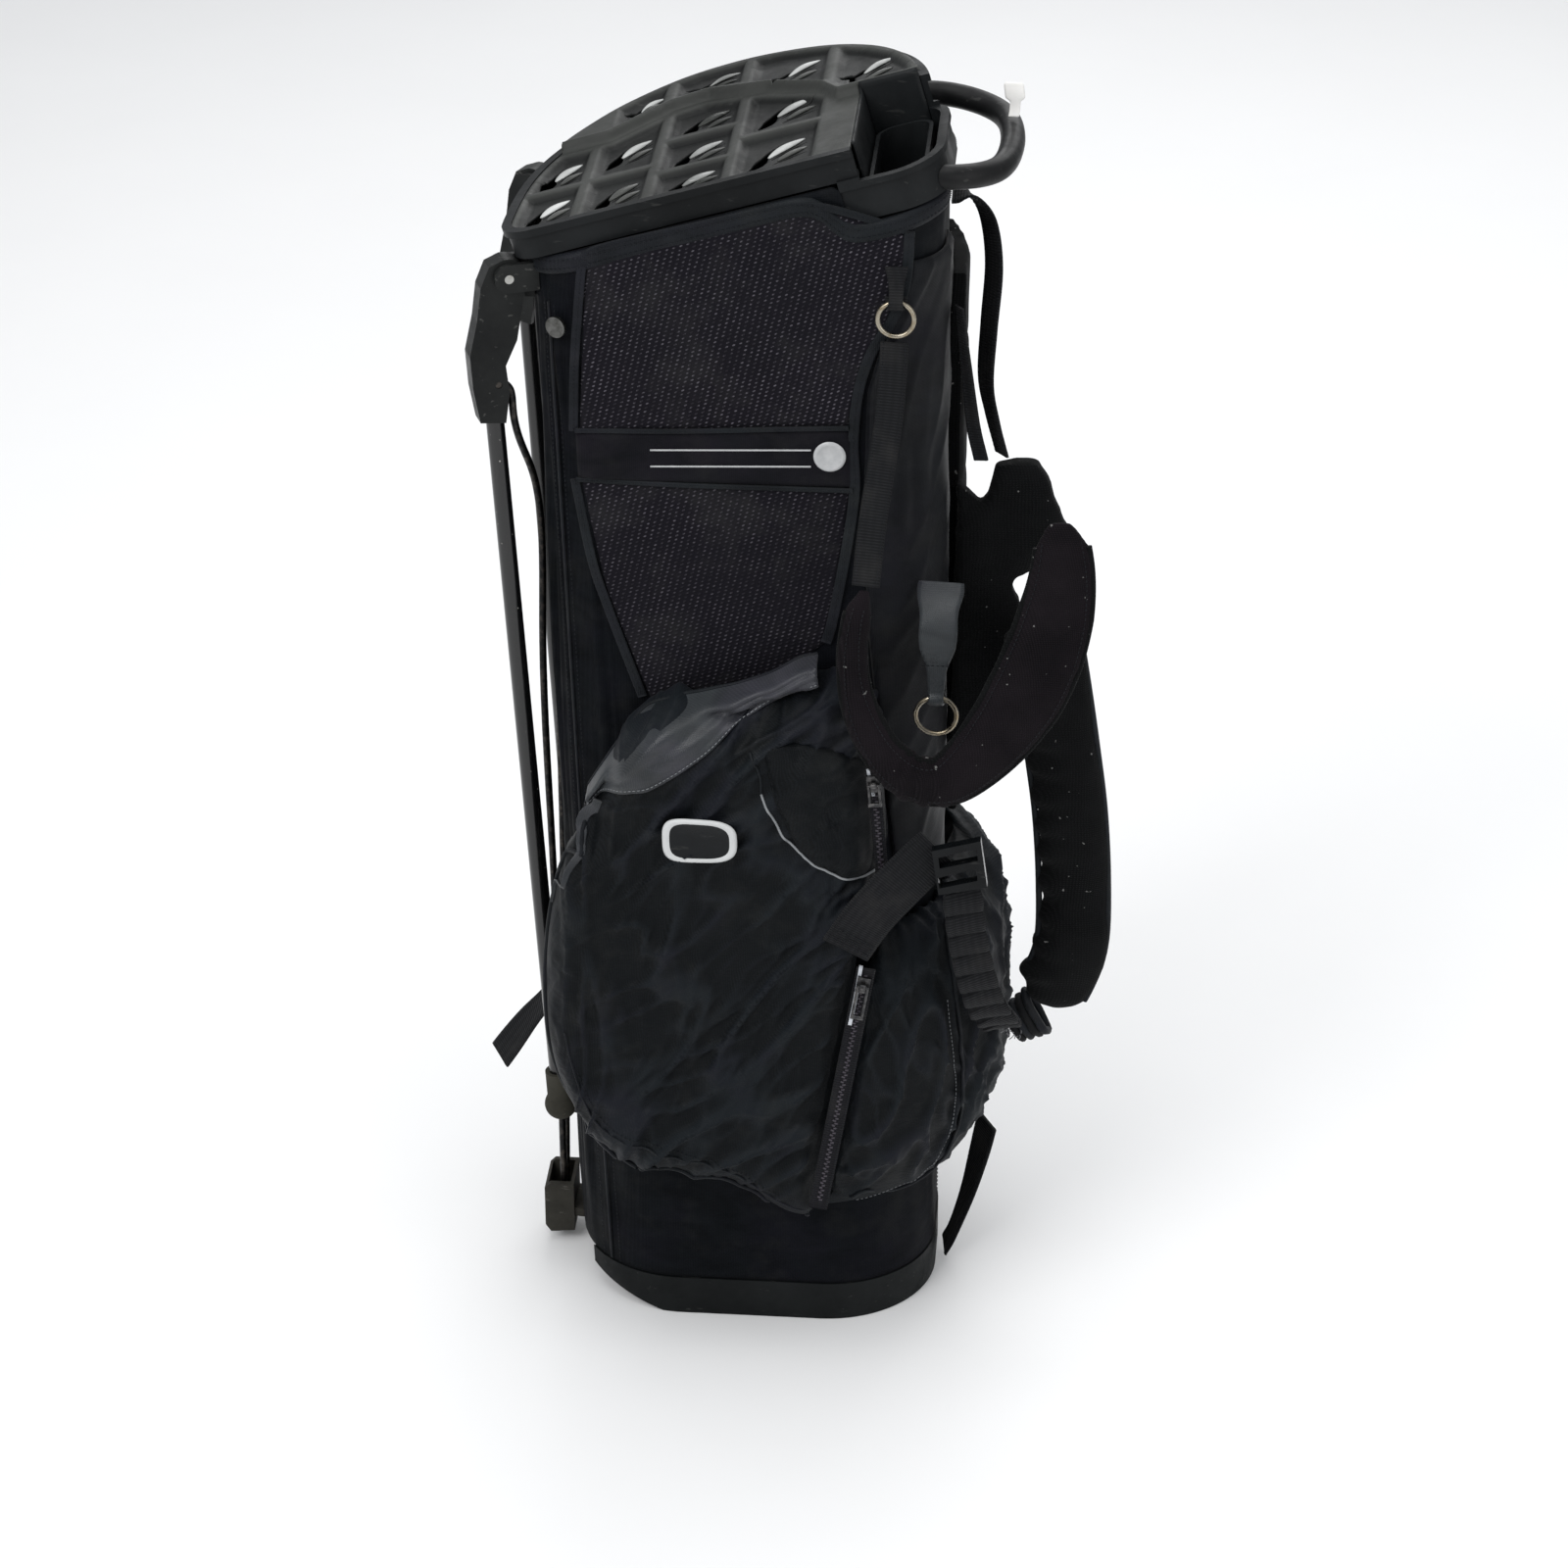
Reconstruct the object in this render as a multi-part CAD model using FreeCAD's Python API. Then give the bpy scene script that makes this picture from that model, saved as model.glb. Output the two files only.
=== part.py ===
"""Golf stand bag with folding legs, divider top, pockets and a double shoulder strap.

Millimetres. Origin: centre of the base's flat bottom. +Z up, -X the leg side, +X the strap and
handle side, -Y the side with the large pocket and the mesh panel.
"""
import math
import os
import FreeCAD
import Part

V = FreeCAD.Vector

# Overall form
RIM_Z = 867.0                # height of the top plane over the origin
TILT_DEG = 16.44             # slope of the top plane, high on the strap side
SHELL_T = 3.0                # stiffened fabric wall
BASE_RIM_H = 30.0            # outer rim of the moulded base
SHELL_Z0 = 30.4
GAP = 0.4                    # clearance between neighbours
# Body sections: height, leg side x, strap side x, near y, far y, near corner radius, far corner radius
SECTIONS = (
    (0.0, -123.0, 132.0, -99.0, 99.0, 78.0, 86.0),
    (400.0, -129.0, 130.0, -99.0, 104.0, 52.0, 92.0),
    (920.0, -139.0, 127.0, -99.0, 112.0, 34.0, 100.0),
)
# Cuff and dividers, in the tilted frame of the top plane
CUFF_T = 4.0
CUFF_H = 20.0
SKIRT_H = 48.0
SKIRT_X = 58.0
NEAR_Y = -97.0
WELL_RIM = -22.0
WELL_X = 72.0
STEP_LINE = ((-175, 35), (-101, 36), (-60, 66), (-36, 70), (5, 56), (43, 30), (56, 7), (150, 7))
RIB_X = (-109.5, -62.6, -9.4, 50.0)
RIB_T = 6.0
TIER_H = 17.0
TIER_RISE = 5.0
TRAY_Z = -9.0
TRAY_T = 2.0
# Stand
LEG_YAW = 22.0               # each leg swings out this far to its own side
PIVOT = (-152.0, 80.0, 790.0)
LEG_R = 6.0
LEG_TOP = (-162.0, 706.0)
LEG_END = (-133.5, 176.0)
EAR_T = 4.0
EAR_GAP = 14.8
PIN_R = 3.0
EYE = (-159.4, 83.0, 716.0)
EYE_R = 2.2
ROD_R = 2.5
ROD_FOOT = (-141.0, 7.0, 34.0)
ROCKER_AXIS = (-58.0, 7.3)
ROCKER_PIN_R = 2.5
RUNNING = 0.06
# Zips
ZIP_TOP = (87.0, -152.0, 322.0)
ZIP_END = (57.0, -152.0, 138.0)
SMALL_ZIP_TOP = (91.0, -147.5, 474.0)
SMALL_ZIP_END = (98.0, -147.5, 392.0)
FAR_ZIP_TOP = (62.0, 145.0, 500.0)
FAR_ZIP_END = (62.0, 145.0, 180.0)
# Rings
SIDE_RING = (99.5, -107.0, 778.0)
SIDE_RING_R = 11.5
TOWEL_RING = (130.0, -119.0, 503.0)
TOWEL_RING_R = 13.4
RING_WIRE = 1.6


def box(x0, x1, y0, y1, z0, z1):
    return Part.makeBox(x1 - x0, y1 - y0, z1 - z0, V(x0, y0, z0))


def rod(a, b, r):
    a = V(*a)
    b = V(*b)
    return Part.makeCylinder(r, (b - a).Length, a, b - a)


def rounded_wire(x0, x1, y0, y1, radii, z):
    """Closed rectangle with its own radius at each corner: near left, near right, far right, far left."""
    a, b, c, d = radii
    k = 1.0 - math.sqrt(0.5)
    e = []
    e.append(Part.LineSegment(V(x0 + a, y0, z), V(x1 - b, y0, z)))
    e.append(Part.Arc(V(x1 - b, y0, z), V(x1 - b * k, y0 + b * k, z), V(x1, y0 + b, z)))
    e.append(Part.LineSegment(V(x1, y0 + b, z), V(x1, y1 - c, z)))
    e.append(Part.Arc(V(x1, y1 - c, z), V(x1 - c * k, y1 - c * k, z), V(x1 - c, y1, z)))
    e.append(Part.LineSegment(V(x1 - c, y1, z), V(x0 + d, y1, z)))
    e.append(Part.Arc(V(x0 + d, y1, z), V(x0 + d * k, y1 - d * k, z), V(x0, y1 - d, z)))
    e.append(Part.LineSegment(V(x0, y1 - d, z), V(x0, y0 + a, z)))
    e.append(Part.Arc(V(x0, y0 + a, z), V(x0 + a * k, y0 + a * k, z), V(x0 + a, y0, z)))
    return Part.Wire([s.toShape() for s in e])


def section_at(z, grow):
    """The body's outline at height z, offset outwards by grow."""
    low, high = (SECTIONS[0], SECTIONS[1]) if z <= SECTIONS[1][0] else (SECTIONS[1], SECTIONS[2])
    t = (z - low[0]) / (high[0] - low[0])
    xl, xr, yn, yf, rn, rf = [p + (q - p) * t for p, q in zip(low[1:], high[1:])]
    rn += grow
    rf += grow
    return rounded_wire(xl - grow, xr + grow, yn - grow, yf + grow, (rn, rn, rf, rf), z)


def body(z0, z1, grow):
    zs = [z0, z1]
    if z0 < SECTIONS[1][0] < z1:
        zs.insert(1, SECTIONS[1][0])
    return Part.makeLoft([section_at(z, grow) for z in zs], True, True)


def swell(levels):
    """A body-shaped solid whose offset from the shell varies with height."""
    return Part.makeLoft([section_at(z, g) for z, g in levels], True, False)


def tilt(shape):
    shape.rotate(V(0, 0, 0), V(0, 1, 0), -TILT_DEG)
    shape.translate(V(0, 0, RIM_Z))
    return shape


def on_top(x, y, z):
    """A point of the tilted frame, in the part's frame."""
    c = math.cos(math.radians(TILT_DEG))
    s = math.sin(math.radians(TILT_DEG))
    return (x * c - z * s, y, RIM_Z + x * s + z * c)


def prism(points, height, plane="xz", start=0.0):
    """A straight-sided solid from points of one plane, extruded from start by height."""
    if plane == "xz":
        pts = [V(x, start, z) for x, z in points]
        way = V(0, height, 0)
    else:
        pts = [V(x, y, start) for x, y in points]
        way = V(0, 0, height)
    pts.append(pts[0])
    return Part.Face(Part.makePolygon(pts)).extrude(way)


def loop_xz(points, y):
    """A smooth closed outline in a plane of constant y."""
    curve = Part.BSplineCurve()
    curve.interpolate([V(x, y, z) for x, z in points], True)
    return Part.Wire([curve.toShape()])


def scaled(points, k):
    cx = sum(p[0] for p in points) / len(points)
    cz = sum(p[1] for p in points) / len(points)
    return [(cx + (x - cx) * k, cz + (z - cz) * k) for x, z in points]


def pillow(points, layers):
    """A crowned pocket: the outline repeated at several depths, each scaled about its middle."""
    return Part.makeLoft([loop_xz(scaled(points, k), y) for y, k in layers], True, False)


def unit(v):
    return v.multiply(1.0 / v.Length)


def ribbon(points, width, thick, across):
    """A flat band through points, of one width or a width per point; across is its width's direction."""
    pts = [V(*p) for p in points]
    wires = []
    for i, p in enumerate(pts):
        ahead = pts[min(i + 1, len(pts) - 1)]
        behind = pts[max(i - 1, 0)]
        t = unit(ahead - behind)
        a = V(*across) if not callable(across) else across(t)
        w = unit(a - V(t).multiply(a.dot(t)))
        n = unit(t.cross(w))
        wide = width[i] if isinstance(width, list) else width
        corners = []
        for sw, sn in ((-1, -1), (1, -1), (1, 1), (-1, 1), (-1, -1)):
            corners.append(p + V(w).multiply(sw * wide / 2) + V(n).multiply(sn * thick / 2))
        wires.append(Part.makePolygon(corners))
    return Part.makeLoft(wires, True, False)


def in_view(t):
    """Width direction of a band that lies in a plane of constant y."""
    return t.cross(V(0, 1, 0))


def tube_along(points, r):
    curve = Part.BSplineCurve()
    curve.interpolate([V(*p) for p in points])
    path = Part.Wire([curve.toShape()])
    start = V(*points[0])
    way = curve.tangent(curve.FirstParameter)[0]
    ring = Part.Wire([Part.makeCircle(r, start, way)])
    return path.makePipeShell([ring], True, True)


# ---- Body and base ----

def base_cup():
    outer = body(0, BASE_RIM_H, 1.0)
    spigot = body(20, 64, -SHELL_T - GAP)
    cup = outer.fuse(spigot)
    cup = cup.cut(body(6, 70, -SHELL_T - GAP - 3.5))
    hump = prism([(-42, 5), (-42, 18.5), (-66, 19), (-126, 46), (-126, 5)], 136, start=-68)
    hump = hump.common(body(0, 64, -SHELL_T - GAP - 1))
    cup = cup.fuse(hump)
    cavity = prism([(-47, -1), (-47, 15), (-66, 15.3), (-150, 50), (-150, -1)], 128, start=-64)
    bevel = prism([(-56, -1), (-160, -1), (-160, 31)], 300, start=-150)
    notch = box(-160, -108, -21, 21, 10, 50)
    cup = cup.cut(cavity).cut(bevel).cut(notch)
    pin = rod((ROCKER_AXIS[0], -68, ROCKER_AXIS[1]), (ROCKER_AXIS[0], 68, ROCKER_AXIS[1]), ROCKER_PIN_R + 0.02)
    bosses = box(-66, -50, -68, -64.2, 2.5, 15.5).fuse(box(-66, -50, 64.2, 68, 2.5, 15.5))
    return cup.fuse(bosses).cut(pin).removeSplitter()


def rocker_pin():
    x, z = ROCKER_AXIS
    return rod((x, -67.5, z), (x, 67.5, z), ROCKER_PIN_R)


def base_rocker():
    """The toe plate that the bag tips on; its lug takes the lower ends of both push rods."""
    x, z = ROCKER_AXIS
    barrel = rod((x, -62, z), (x, 62, z), 6.0)
    plate = prism([(-58, 1.3), (-119, 20.8), (-119, 25.8), (-58, 9.0)], 124, start=-62).common(body(0, 60, -9))
    tongue = prism([(-108, 17.4), (-117, 20.2), (-134, 21.5), (-134, 29), (-117, 25.2), (-108, 22)], 32, start=-16)
    lug = prism([(-132.5, 10), (-150, 8), (-154, 14), (-154, 46), (-150, 50), (-132.5, 50)], 36, start=-18)
    pocket = box(-151.5, -135.0, -14, 14, 19, 60)
    part = barrel.fuse(plate).fuse(tongue).fuse(lug).cut(pocket)
    return part.cut(rod((x, -70, z), (x, 70, z), ROCKER_PIN_R + RUNNING)).removeSplitter()


def top_cutter(lift):
    left = box(-300, SKIRT_X - GAP, -250, 250, -CUFF_H - lift, 300)
    right = box(SKIRT_X - GAP - 0.1, 300, -250, 250, -SKIRT_H - lift, 300)
    return tilt(left.fuse(right))


def bag_shell():
    shell = body(SHELL_Z0, 918, 0).cut(body(SHELL_Z0 - 1, 919, -SHELL_T))
    shell = shell.cut(top_cutter(GAP))
    return shell.cut(box(-160, -110, -21, 21, 20, 50))


# ---- Top ----

def cuff_points(grow):
    """The round part of the cuff's outline, leg side to strap side by way of the far side."""
    pts = [(-157.5, -70), (-156, -40), (-150, 1), (-137, 36), (-120, 63), (-95, 90), (-58, 112)]
    pts += [(-20, 119), (15, 115), (50, 102), (80, 79), (101, 50), (113, 18), (117.5, -12)]
    out = []
    for i, p in enumerate(pts):
        q = pts[min(i + 1, len(pts) - 1)]
        o = pts[max(i - 1, 0)]
        tx, ty = q[0] - o[0], q[1] - o[1]
        n = math.hypot(tx, ty)
        out.append((p[0] - ty / n * grow, p[1] + tx / n * grow))
    return out


def cuff_block(grow, z0, z1):
    """The D-shaped plan of the top, straight on the near side."""
    pts = cuff_points(grow)
    r = 20.0 + grow
    k = r * (1 - math.sqrt(0.5))
    y = NEAR_Y - grow
    xa = pts[0][0]
    xb = pts[-1][0]
    curve = Part.BSplineCurve()
    curve.interpolate([V(px, py, z0) for px, py in pts])
    rb = 30.0 + grow
    kb = rb * (1 - math.sqrt(0.5))
    e = [curve.toShape()]
    e.append(Part.LineSegment(V(xb, pts[-1][1], z0), V(xb, y + rb, z0)).toShape())
    e.append(Part.Arc(V(xb, y + rb, z0), V(xb - kb, y + kb, z0), V(xb - rb, y, z0)).toShape())
    e.append(Part.LineSegment(V(xb - rb, y, z0), V(xa + r, y, z0)).toShape())
    e.append(Part.Arc(V(xa + r, y, z0), V(xa + k, y + k, z0), V(xa, y + r, z0)).toShape())
    if abs(pts[0][1] - (y + r)) > 0.01:
        e.append(Part.LineSegment(V(xa, y + r, z0), V(xa, pts[0][1], z0)).toShape())
    return Part.Face(Part.Wire(Part.__sortEdges__(e))).extrude(V(0, 0, z1 - z0))


def well_block(grow, z0, z1):
    """The bulge of the cuff round the putter well."""
    g = grow
    wire = rounded_wire(40 - g, 124 + g, NEAR_Y - g, 12 + g, (20 + g, 34 + g, 22 + g, 20 + g), z0)
    return Part.Face(wire).extrude(V(0, 0, z1 - z0))


def top_cuff():
    """Moulded ring: a lip, a wall and a bottom flange, with a deeper skirt on the strap side."""
    wall = cuff_block(0, -CUFF_H, 0).fuse(cuff_block(2.5, -5, 0))
    wall = wall.cut(cuff_block(-CUFF_T, -CUFF_H + 3, 1)).cut(cuff_block(-CUFF_T - 4, -CUFF_H - 1, 1))
    skirt = cuff_block(0, -SKIRT_H, -CUFF_H + 1).fuse(well_block(0, -SKIRT_H, -CUFF_H + 1))
    skirt = skirt.fuse(well_block(2.0, WELL_RIM - 4, -CUFF_H + 1))
    skirt = skirt.cut(cuff_block(-CUFF_T, -SKIRT_H - 1, 1).fuse(well_block(-CUFF_T, -SKIRT_H - 1, 1)))
    skirt = skirt.common(box(SKIRT_X, 300, -200, 200, -SKIRT_H - 1, 1))
    ring = wall.fuse(skirt).cut(box(WELL_X, 200, -200, 7, WELL_RIM, 50))
    return tilt(ring.removeSplitter())


def cell_outlines():
    """Plan of each club slot: lower tier first, then upper tier."""
    a, b, c, d = [x for x in RIB_X]
    h = RIB_T / 2
    lower = [
        ((-152, -90), (a - h, -90), (a - h, -35), (-150, -35)),
        ((-149, -29), (a - h, -29), (a - h, 29), (-134, 29), (-144, 2)),
        ((a + h, -90), (b - h, -90), (b - h, -35), (a + h, -35)),
        ((a + h, -29), (b - h, -29), (b - h, 55), (-99, 30), (a + h, 30)),
        ((b + h, -90), (c - h, -90), (c - h, -52), (b + h, -52)),
        ((b + h, -46), (c - h, -46), (c - h, 5), (b + h, 5)),
        ((b + h, 11), (c - h, 11), (c - h, 56), (-38, 62), (b + h, 57)),
        ((c + h, -90), (d - h, -90), (d - h, -25), (c + h, -25)),
        ((c + h, -19), (d - h, -19), (d - h, 16), (38, 26), (3, 48), (c + h, 53)),
    ]
    upper = [
        ((-98, 45), (b - h, 71), (b - h, 101), (-82, 93), (-98, 78)),
        ((b + h, 73), (-38, 77), (c - h, 71), (c - h, 111), (-45, 109), (b + h, 103)),
        ((c + h, 66), (8, 61), (d - h, 30), (d - h, 96), (12, 109), (c + h, 111)),
        ((d + h, 26), (61, 14), (106, 14), (104, 28), (92, 53), (74, 74), (d + h, 92)),
    ]
    return lower, upper


def tray_hole(cell):
    """The shaft opening of one slot: the leg-side part of its tray."""
    x0 = min(p[0] for p in cell)
    y0 = min(p[1] for p in cell)
    y1 = max(p[1] for p in cell)
    span = box(x0 + 2.5, x0 + 30, y0 + 4, y1 - 4, TRAY_Z - 10, TRAY_Z + 12)
    inset = prism(scaled(cell, 0.9), 30, "xy", TRAY_Z - 12)
    return span.common(inset)


def tier(region, cells, top):
    solid = region
    for cell in cells:
        solid = solid.cut(prism(cell, 60, "xy", TRAY_Z + (top if top > 0 else 0)))
        solid = solid.cut(prism(cell, 30, "xy", TRAY_Z - TRAY_T - 30 + (top if top > 0 else 0)))
        hole = tray_hole(cell)
        hole.translate(V(0, 0, max(top, 0)))
        solid = solid.cut(hole)
    return solid


def step_side(far):
    pts = [(x, y + (1.0 if far else -1.0)) for x, y in STEP_LINE]
    edge = 200 if far else -200
    return prism(pts + [(150, edge), (-175, edge)], 200, "xy", -120)


def divider_lower_tier():
    lower, upper = cell_outlines()
    region = cuff_block(-CUFF_T - GAP, -TIER_H + GAP, -1).common(step_side(False))
    region = region.cut(box(WELL_X, 200, -200, 20, -100, 50))
    solid = tier(region, lower, 0)
    wall = box(WELL_X - 4, WELL_X, NEAR_Y + 16.5, 2, -26, -1)
    return tilt(solid.fuse(wall).removeSplitter())


def divider_upper_tier():
    lower, upper = cell_outlines()
    region = cuff_block(-CUFF_T - GAP, -TIER_H + GAP, TIER_RISE).common(step_side(True))
    solid = tier(region, upper, TIER_RISE)
    wall = box(59, 95, 8.5, 12, -26, TIER_RISE - 1)
    return tilt(solid.fuse(wall).removeSplitter())


def tongue(x, y, z, turn, size):
    """One leaf-shaped rubber tongue of a club slot."""
    w = 0.26 * size
    pts = [(0, -size / 2), (w, 0), (0, size / 2), (-w * 0.35, 0)]
    curve = Part.BSplineCurve()
    curve.interpolate([V(px, py, 0) for px, py in pts], True)
    leaf = Part.Face(Part.Wire([curve.toShape()])).extrude(V(0, 0, 1.4))
    leaf.rotate(V(0, 0, 0), V(0, 0, 1), turn)
    leaf.translate(V(x, y, z))
    return leaf


def slot_tongues():
    lower, upper = cell_outlines()
    out = []
    for cells, rise in ((lower, 0.0), (upper, TIER_RISE)):
        for cell in cells:
            cx = sum(p[0] for p in cell) / len(cell)
            cy = sum(p[1] for p in cell) / len(cell)
            z = TRAY_Z + 0.4 + rise
            room = prism(scaled(cell, 0.93), 30, "xy", z - 5)
            out.append(tongue(cx + 4.0, cy - 8, z, -62, 27).common(room))
            out.append(tongue(cx + 7.0, cy + 7, z, -38, 25).common(room))
    return tilt(Part.makeCompound(out))


def putter_well():
    outer = Part.Face(rounded_wire(80.5, 117, -91, 1.5, (12, 24, 14, 12), 690)).extrude(V(0, 0, 260))
    inner = Part.Face(rounded_wire(83, 114.5, -88.5, -1, (9.5, 21.5, 11.5, 9.5), 680)).extrude(V(0, 0, 280))
    return outer.cut(inner).cut(tilt(box(-50, 300, -200, 200, -26.5, 300)))


def divider_sheets():
    """Three long fabric walls that keep the shafts apart."""
    out = []
    for x in (-60.0, -9.0, 48.0):
        out.append(box(x - 0.8, x + 0.8, -88, 88 if x < 40 else 80, 70, 790 if x < 0 else 820))
    return Part.makeCompound(out)


def lift_handle():
    path = [(116, -75, 862), (144, -67, 860), (160, -48, 858), (167, -18, 859), (167, 14, 859)]
    path += [(158, 46, 861), (138, 61, 864), (98, 62, 866)]
    bar = tube_along(path, 8.0)
    inside = cuff_block(0.2, -80, -5.3).fuse(cuff_block(2.8, -5.4, 20))
    inside = inside.fuse(well_block(0.2, -80, WELL_RIM - 4.3)).fuse(well_block(2.3, WELL_RIM - 4.4, 20))
    return bar.cut(tilt(inside))


def handle_tag():
    return box(161.5, 172.5, 17.5, 18.3, 868.5, 890).fuse(box(159, 176, 17.5, 18.3, 884, 897))


# ---- Stand ----

def side_frame(shape, side):
    """Takes a shape built at the near pivot's own axes (u out, v along the pin, z up) to its place."""
    yaw = 180.0 + LEG_YAW if side < 0 else 180.0 - LEG_YAW
    shape.rotate(V(0, 0, 0), V(0, 0, 1), yaw)
    shape.translate(V(PIVOT[0], side * PIVOT[1], PIVOT[2]))
    return shape


def clevis(side):
    h = EAR_GAP / 2
    ears = None
    for v0 in (-h - EAR_T, h):
        ear = Part.makeCylinder(9.5, EAR_T, V(0, v0, 0), V(0, 1, 0))
        ear = ear.fuse(box(-30, 0, v0, v0 + EAR_T, -9.5, 9.5))
        ears = ear if ears is None else ears.fuse(ear)
    web = box(-34, -15.5, -h - EAR_T, h + EAR_T, -9.5, 9.5)
    part = ears.fuse(web)
    part = part.cut(Part.makeCylinder(PIN_R + 0.02, 60, V(0, -30, 0), V(0, 1, 0)))
    return side_frame(part, side)


def leg_bracket():
    plate = box(-146, -120, -60, 60, 772, 798).fuse(box(-140.5, -120, -74, 74, 772, 798))
    part = plate.fuse(clevis(-1)).fuse(clevis(1))
    part = part.cut(body(700, 900, GAP))
    part = part.cut(top_cutter(GAP + 0.2))
    for y in (-40.0, 40.0):
        part = part.cut(rod((-170, y, 785), (-120, y, 785), 2.6))
    return part.removeSplitter()


def bracket_screws():
    out = []
    for y in (-40.0, 40.0):
        shank = rod((-146.2, y, 785), (-141.2, y, 785), 2.5)
        head = rod((-148.6, y, 785), (-146.2, y, 785), 5.0)
        out.append(shank.fuse(head))
    return Part.makeCompound(out)


def leg_pin(side):
    length = EAR_GAP + 2 * EAR_T
    pin = Part.makeCylinder(PIN_R, length + 0.2, V(0, -length / 2 - 0.2, 0), V(0, 1, 0))
    head = Part.makeCylinder(5.0, 1.8, V(0, -length / 2 - 2.0, 0), V(0, 1, 0))
    return side_frame(pin.fuse(head), side)


def out_of(x):
    """Horizontal distance outwards from the pin for a point of the leg at x."""
    return (PIVOT[0] - x) / math.cos(math.radians(LEG_YAW))


def leg_elbow(side):
    prof = [(2, 12), (12, 8), (18, -6), (21, -28), (26.5, -52), (25, -76), (21, -99), (4, -101)]
    prof += [(1, -80), (3, -61), (-5, -44), (-9, -22), (-12, -4), (-9, 8)]
    arm = prism(prof, EAR_GAP - 0.8, start=-(EAR_GAP - 0.8) / 2)
    arm = arm.fuse(Part.makeCylinder(12, EAR_GAP - 0.8, V(0, -(EAR_GAP - 0.8) / 2, 0), V(0, 1, 0)))
    arm = arm.cut(Part.makeCylinder(PIN_R + RUNNING, 60, V(0, -30, 0), V(0, 1, 0)))
    arm = side_frame(arm, side)
    top, end = leg_line(side)
    arm = arm.cut(rod(top, end, LEG_R + 0.05))
    eye = eye_point(side)
    slot = box(-24, 5, -ROD_R - 0.8, ROD_R + 0.8, -30, 6)
    slot = slot.fuse(Part.makeCylinder(EYE_R + RUNNING, 60, V(0, -30, 0), V(0, 1, 0)))
    slot.rotate(V(0, 0, 0), V(0, 0, 1), 180.0 + LEG_YAW if side < 0 else 180.0 - LEG_YAW)
    slot.translate(V(*eye))
    return arm.cut(slot).removeSplitter()


def eye_point(side):
    return (EYE[0], side * EYE[1], EYE[2])


def leg_line(side):
    """Axis of a folded leg tube; it hangs in the plane its pin turns in."""
    pts = []
    for x, z in (LEG_TOP, LEG_END):
        u = out_of(x)
        y = side * (PIVOT[1] + u * math.sin(math.radians(LEG_YAW)))
        pts.append((x, y, z))
    return pts


def leg_tube(side):
    top, end = leg_line(side)
    outer = rod(top, end, LEG_R)
    return outer.cut(rod(top, end, LEG_R - 1.2))


def leg_foot(side):
    top, end = leg_line(side)
    d = unit(V(*end) - V(*top))
    e = V(*end)
    sleeve = Part.makeCylinder(9.0, 26, e - V(d).multiply(8), d)
    ball = Part.makeSphere(11.5, e + V(d).multiply(20))
    foot = sleeve.fuse(ball)
    plug = Part.makeCylinder(LEG_R + 0.05, 10, e - V(d).multiply(10), d)
    return foot.cut(plug)


def push_rod(side):
    x, y, z = eye_point(side)
    path = [(x, y, z), (x + 7.5, y * 0.964, z - 5), (x + 9.5, y * 0.954, z - 18), (-142, side * 54, 640)]
    path += [(-140, side * 40, 520), (-139.5, side * 27, 330), (-140, side * 15, 140), rod_foot(side)]
    cross = Part.makeCylinder(EYE_R, 12.6, V(0, -6.3, 0), V(0, 1, 0))
    cross.rotate(V(0, 0, 0), V(0, 0, 1), 180.0 + LEG_YAW if side < 0 else 180.0 - LEG_YAW)
    cross.translate(V(x, y, z))
    return tube_along(path, ROD_R).fuse(cross)


def rod_foot(side):
    return (ROD_FOOT[0], side * ROD_FOOT[1], ROD_FOOT[2])


def leg_strap():
    path = [(-130.5, 0, 246), (-139, 0, 222), (-150, 0, 200), (-166, 0, 178), (-186, 0, 148)]
    return ribbon(path, 24, 1.8, (0, 1, 0))


# ---- Fabric panels and pockets ----

def near_panel(points, g0, g1):
    """A thin panel on the near face, cut to an outline."""
    skin = body(30, 915, g1).cut(body(29, 916, g0))
    return skin.common(prism(points, 75, start=-125)).cut(top_cutter(GAP + 0.2))


def mesh_upper():
    pts = [(-104, 822), (-40, 838), (30, 852), (60, 850), (108, 836), (104, 793), (78, 738), (68, 698), (-107, 690)]
    return near_panel(pts, GAP, 2.4)


def mesh_band():
    return near_panel([(-108, 689.4), (67.6, 697.4), (74, 676), (74, 656), (-107, 656)], GAP, 4.0)


def mesh_lower():
    pts = [(-105, 655.4), (74, 655.4), (67, 613), (57, 542), (28, 519), (-20, 504), (-70, 500), (-88, 560)]
    return near_panel(pts, GAP, 2.4)


def strap_side_panel():
    """Raised panel down the corner between the mesh and the strap side."""
    skin = body(340, 820, 3.0).cut(body(339, 821, GAP))
    pts = [(110, 800), (113, 835), (140, 820), (140, 345), (108, 345), (84, 560), (80, 640), (82, 725)]
    keep = prism(pts, 70, start=-110)
    return skin.common(keep).cut(top_cutter(GAP + 0.2))


POCKET = ((-63, 505), (-93, 458), (-110, 412), (-124, 374), (-132, 330), (-135, 281), (-131, 225),
          (-119, 190), (-98, 158), (-50, 136), (4, 122), (52, 104), (72, 118), (80, 180), (90, 260),
          (98, 330), (104, 400), (100, 470), (76, 530), (48, 534), (3, 517))


def zip_divide(side):
    """Everything on one side of the sloping line of the main zip."""
    x0, z0 = ZIP_END[0], ZIP_END[2]
    x1, z1 = ZIP_TOP[0], ZIP_TOP[2]
    k = (x1 - x0) / (z1 - z0)
    far = 300 * side
    low = (x0 + k * (60 - z0) + side * 0.3, 60)
    high = (x0 + k * (345 - z0) + side * 0.3, 345)
    return low, high, far


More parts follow.
